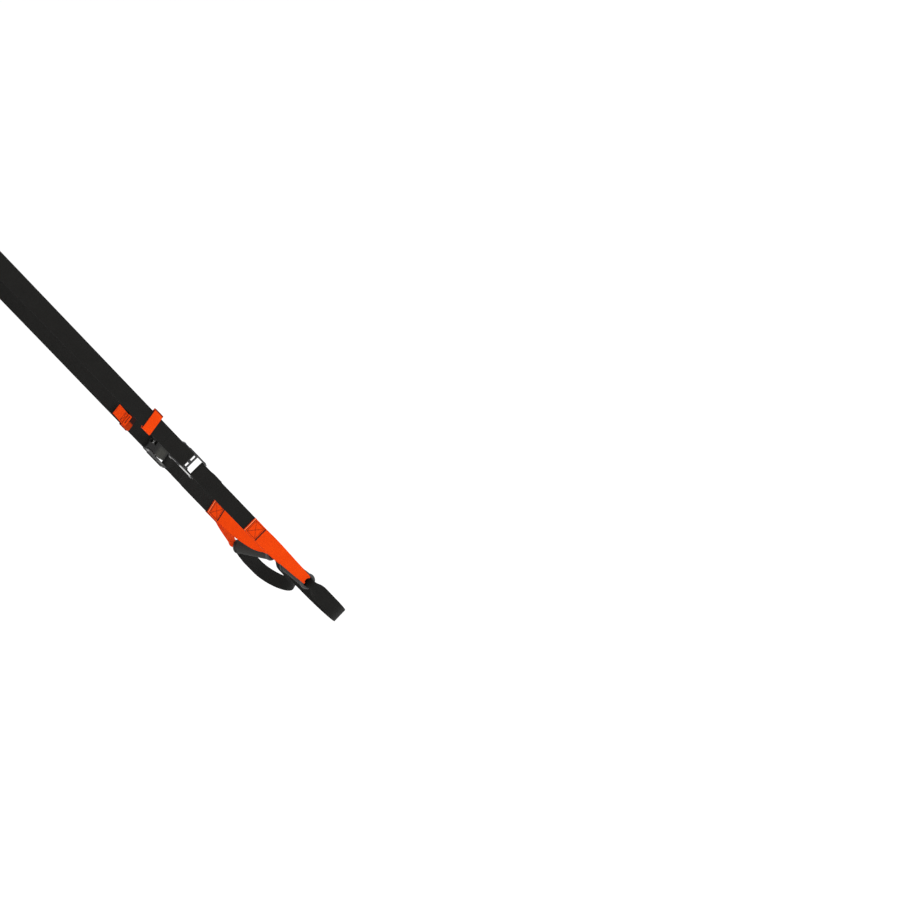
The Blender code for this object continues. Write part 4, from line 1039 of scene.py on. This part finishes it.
def leg_material(prefix, legs):
    """Orange webbing of a handle, with a painted highlight on the hem and a line of painted shade beyond it
    at both sewn ends.
    """
    zones = []
    for near, far, share, colour in HEM_HIGHLIGHT_AND_SHADE:
        zones.append((near, far, HEM_SHADING_FADE, share, colour))
        zones.append((legs.total - far, legs.total - near, HEM_SHADING_FADE, share, colour))
    return orange_material(prefix + "leg_look", WEBBING_WIDTH, zones)


# Places of the stitching, and of the ends of the stretches between two bodies

LOOP_TACK_LENGTHS = (0.009, 0.016, 0.023, 0.030)
LOOP_TACK_HEIGHTS = (-0.045, -0.052, -0.059, -0.066)
LOOP_TACK_HEIGHT = 0.0024
LOOP_TACK_MARGIN = 0.0025
PULL_BOX = (0.024, 0.034)
PULL_ROW_PLACE = 0.0024
PULL_TACK_PLACE = 0.0040
PULL_TACK_RADIUS = 0.0004
PULL_MARGIN = 0.003
SEAM_MARGIN = 0.0035
BACK_BOX = (0.036, 0.005)
BACK_TACK_PLACE = 0.0028
FRONT_BOX = (0.008, 0.036)
LEG_BOX = (0.0078, 0.0368)
LEG_TACK_HEIGHT = 0.0046
LEG_TACK_RADIUS = 0.00062
LEG_TACK_MARGIN = 0.0012
HEM_ROW_GAP = 0.0008
STRAP_BLEND_Z = (-FLAT_START - 0.010, CLAMP_Z + 0.060)
TAIL_BLEND_Z = BAR_Z + 0.078
TAPE_STRIPS = 10
ENDINGS = {"black_webbing": "_webbing", "orange_webbing": "_tape", "grip_foam": "_sleeve"}


def dress(prefix, node, made, surface, body, slot="black_webbing"):
    """Adds the dressed form of a side's node, which it replaces."""
    add_piece(prefix, node + ENDINGS[slot], made, surface, body, slot, node)


def stretch(prefix, first, second, start, end):
    """Names of two bodies that a band lies between, and the places where it passes from one to the other."""
    lie = side_frame(prefix)
    return prefix + first, prefix + second, lie @ Vector((0, 0, start)), lie @ Vector((0, 0, end))


def dress_strap(prefix):
    """Main strap, tail and the stitching of the anchor loop."""
    main = strap_band(prefix)
    dress(prefix, "main_strap", main.mesh(), black, stretch(prefix, "strap", "buckle", *STRAP_BLEND_Z))
    tab_low = TAB_Z - TAB_DROPS[prefix] - TAB_HEIGHT / 2
    dress(prefix, "strap_tail", tail_band(prefix).mesh(), black,
          stretch(prefix, "buckle", "tab", TAIL_BLEND_Z, tab_low))
    made = bmesh.new()
    front_lengths = [main.length_at(height, FRONT_AFTER) for height in LOOP_TACK_HEIGHTS]
    for length in (*front_lengths, *LOOP_TACK_LENGTHS):
        bar_tack(made, main, -1, length, FOLDED_WIDTH / 2 - LOOP_TACK_MARGIN, LOOP_TACK_HEIGHT,
                 radius=FINE_THREAD_RADIUS)
    finish_stitches(prefix, "loop_stitching", made, grey_thread, "strap")


def dress_tab(prefix, chance):
    """Keeper and pull of the adjustment tab, with the pull's stitching."""
    loop = tab_loop_band(prefix)
    dress(prefix, "tab_loop", loop.mesh(TAPE_STRIPS), loop_material(prefix, loop), "tab", "orange_webbing")
    pull = pull_band(prefix)
    dress(prefix, "tab_pull", pull.mesh(TAPE_STRIPS), orange_tape, "tab", "orange_webbing")
    made = bmesh.new()
    half = PULL_WIDTH / 2 - PULL_MARGIN
    crossed_box(made, pull, 1, *PULL_BOX, half, chance, rows=2)
    stitch_line(made, pull, 1, (PULL_ROW_PLACE, -half), (PULL_ROW_PLACE, half), wander=chance)
    bar_tack(made, pull, -1, pull.total - PULL_TACK_PLACE, half, radius=PULL_TACK_RADIUS)
    finish_stitches(prefix, "tab_stitching", made, brown_thread, "tab")


def dress_lower_strap(prefix, chance):
    """Short strap below the buckle, with the stitching of its doubled part on both faces."""
    lower = lower_strap_band()
    dress(prefix, "lower_strap", lower.mesh(), black, "handle")
    made = bmesh.new()
    half = WEBBING_WIDTH / 2 - SEAM_MARGIN
    end, step = lower.total, lower.length_at(STEP_Z)
    crossed_box(made, lower, 1, end - BACK_BOX[0], end - BACK_BOX[1], half, chance)
    bar_tack(made, lower, 1, end - BACK_TACK_PLACE, half, radius=FINE_THREAD_RADIUS)
    crossed_box(made, lower, 1, step + FRONT_BOX[0], step + FRONT_BOX[1], half, chance)
    finish_stitches(prefix, "lower_stitching", made, black_thread, "handle")


def dress_handle(prefix, chance):
    """Handle's webbing, with a crossed box and a bar tack at both ends."""
    legs = handle_band(prefix)
    dress(prefix, "handle_webbing", legs.mesh(), leg_material(prefix, legs), "handle", "orange_webbing")
    boxes, bars = bmesh.new(), bmesh.new()
    half = WEBBING_WIDTH / 2 - SEAM_MARGIN
    for start, way in ((0.0, 1), (legs.total, -1)):
        near, far = (start + way * place for place in LEG_BOX)
        crossed_box(boxes, legs, -1, near, far, half, chance, rows=2)
        row = start + way * (HEM_LENGTH + HEM_ROW_GAP)
        stitch_line(boxes, legs, -1, (row, -half), (row, half), wander=chance)
        bar_tack(bars, legs, -1, start + way * TACK_PLACE, WEBBING_WIDTH / 2 - LEG_TACK_MARGIN,
                 LEG_TACK_HEIGHT, radius=LEG_TACK_RADIUS)
    finish_stitches(prefix, "box_stitching", boxes, brown_thread, "handle")
    finish_stitches(prefix, "bar_stitching", bars, black_thread, "handle")


def dress_grip(prefix):
    """Foam sleeve of the grip, and the foot cradle."""
    dress(prefix, "grip_foam", foam_sleeve(prefix), foam, "grip", "grip_foam")
    dress(prefix, "foot_cradle", cradle_band(prefix).mesh(), black, "cradle")


for side_prefix in SIDES:
    draws = random.Random(side_prefix)
    dress_strap(side_prefix)
    dress_tab(side_prefix, draws)
    dress_lower_strap(side_prefix, draws)
    dress_handle(side_prefix, draws)
    dress_grip(side_prefix)


# Metal and plastic nodes keep their shapes and get their finishes

def shade_smooth(node_name, surface, slot):
    """A node's own shape as a piece whose round faces are shaded smooth and whose corners stay sharp."""
    node = frame["nodes"][node_name]
    made = bmesh.new()
    corners = [made.verts.new(vertex.co) for vertex in node.data.vertices]
    for face in node.data.polygons:
        made.faces.new([corners[index] for index in face.vertices]).smooth = True
    bmesh.ops.remove_doubles(made, verts=made.verts[:], dist=SEAT_GAP / 30)
    for edge in made.edges:
        edge.smooth = len(edge.link_faces) == 2 and edge.calc_face_angle(0.0) < SHARP_ANGLE
    body = node.parent.name.removeprefix("body:")
    piece = add_piece("", node_name + "_shape", made, surface, body, slot, node_name, node.matrix_world)
    piece.modifiers.new("flat faces", "WEIGHTED_NORMAL").keep_sharp = True


ZINC, PIN, PLASTIC = (zinc, "zinc_steel"), (pin_steel, "zinc_steel"), (plastic, "black_plastic")
SHARED_FINISHES = {"carabiner_body": ZINC, "carabiner_gate_bar": ZINC, "gate_pin": (pin_steel, "dark_steel"),
                   "gate_spring": ZINC}
SIDE_FINISHES = {"cam_pin": PIN, "lower_bar": PIN, "cam_spring": ZINC, "grip_tube": PLASTIC,
                 "inner_grip_cap": PLASTIC, "outer_grip_cap": PLASTIC}
for shared_name, finish in SHARED_FINISHES.items():
    shade_smooth(shared_name, *finish)
for side_prefix in SIDES:
    shade_smooth(side_prefix + "buckle_frame", BUCKLE_LOOKS[side_prefix], "dark_steel")
    shade_smooth(side_prefix + "cam_lever", lever_material(side_prefix), "dark_steel")
    for side_name, finish in SIDE_FINISHES.items():
        shade_smooth(side_prefix + side_name, *finish)


# Studio

WHITE = (1, 1, 1, 1)
FLOOR_REACH = 40.0
FLOOR_DROP = 0.35
FLOOR_PAINT = (0.86, 0.86, 0.86, 1)
FLOOR_GLOW = 1.12
FLOOR_GLOW_SHARE = 0.84
WORLD_LIGHT = 0.55
LAMP_TARGET = (0.0, 0.0, -1.0)
LAMPS = {"key": ((2.6, -1.3, 0.6), 1.6, 62.0),
         "fill": ((1.2, 2.4, -0.2), 1.8, 20.0),
         "back": ((-2.4, -0.8, 0.3), 1.6, 30.0)}
SENSOR_WIDTH = 36.0
FOCAL_PIXELS = 1202.0
PICTURE_PIXELS = 900.0
CAMERA_CLIP = 0.01
CAMERA_PLACE = (2.3941, -0.162, 0.5742 + PIVOT_Z)
CAMERA_RIGHT = (0.5699, 0.6742, -0.4698)
CAMERA_UP = (-0.3082, 0.7054, 0.6384)


def seen_share(n):
    """Output that is 1 for camera, transmission and glossy rays."""
    path = n.add("ShaderNodeLightPath")
    seen = path.outputs["Is Camera Ray"]
    for kind in ("Is Transmission Ray", "Is Glossy Ray"):
        seen = n.math("MAXIMUM", seen, path.outputs[kind])
    return seen


def floor_material():
    """A pale floor that the camera sees nearly white while it keeps part of its shadow."""
    n = Nodes(bpy.data.materials.new("floor_look"))
    n.finish(FLOOR_PAINT, roughness=0.9)
    glow = n.add("ShaderNodeEmission", {"Color": WHITE, "Strength": FLOOR_GLOW})
    share = n.times(seen_share(n), FLOOR_GLOW_SHARE)
    mixed = n.add("ShaderNodeMixShader", {0: share, 1: n.shader.outputs[0], 2: glow.outputs[0]})
    n.put(n.tree.nodes["Material Output"], "Surface", mixed.outputs[0])
    return n.owner


def make_floor():
    """White floor well below the trainer."""
    made = bmesh.new()
    size, level = FLOOR_REACH, cad_box[0][2] - FLOOR_DROP
    corners = ((-size, -size), (size, -size), (size, size), (-size, size))
    made.faces.new([made.verts.new((x, y, level)) for x, y in corners])
    floor = add_mesh("floor", made, floor_material())


def make_world():
    """White world, dimmer as a light than it looks to the camera and to reflections."""
    n = Nodes(bpy.data.worlds.new("studio"))
    bpy.context.scene.world = n.owner
    level = n.add("ShaderNodeMapRange", {"Value": seen_share(n), "To Min": WORLD_LIGHT, "To Max": 1.0})
    back = n.tree.nodes["Background"]
    n.put(back, "Strength", level.outputs[0])
    n.put(back, "Color", WHITE)


def make_lamp(name, place, size, power):
    """Square lamp that looks at the trainer's lower part."""
    data = bpy.data.lights.new(name, "AREA")
    data.shape = "RECTANGLE"
    data.size = data.size_y = size
    data.energy = power
    lamp = add_object(name, data)
    lamp.location = place
    lamp.rotation_euler = (Vector(LAMP_TARGET) - Vector(place)).to_track_quat("-Z", "Y").to_euler()


def make_camera():
    """Camera at the photograph's viewing angle, worked out from the straps' perspective."""
    data = bpy.data.cameras.new("camera")
    data.sensor_width = SENSOR_WIDTH
    data.lens = SENSOR_WIDTH * FOCAL_PIXELS / PICTURE_PIXELS
    data.clip_start = CAMERA_CLIP
    camera = add_object("camera", data)
    right = Vector(CAMERA_RIGHT).normalized()
    back = right.cross(Vector(CAMERA_UP).normalized()).normalized()
    turn = Matrix((right, back.cross(right), back)).transposed()
    camera.matrix_world = Matrix.Translation(CAMERA_PLACE) @ turn.to_4x4()
    bpy.context.scene.camera = camera


make_floor()
make_world()
for lamp_name, lamp_values in LAMPS.items():
    make_lamp(lamp_name, *lamp_values)
make_camera()
bpy.context.scene.view_settings.view_transform = "Standard"
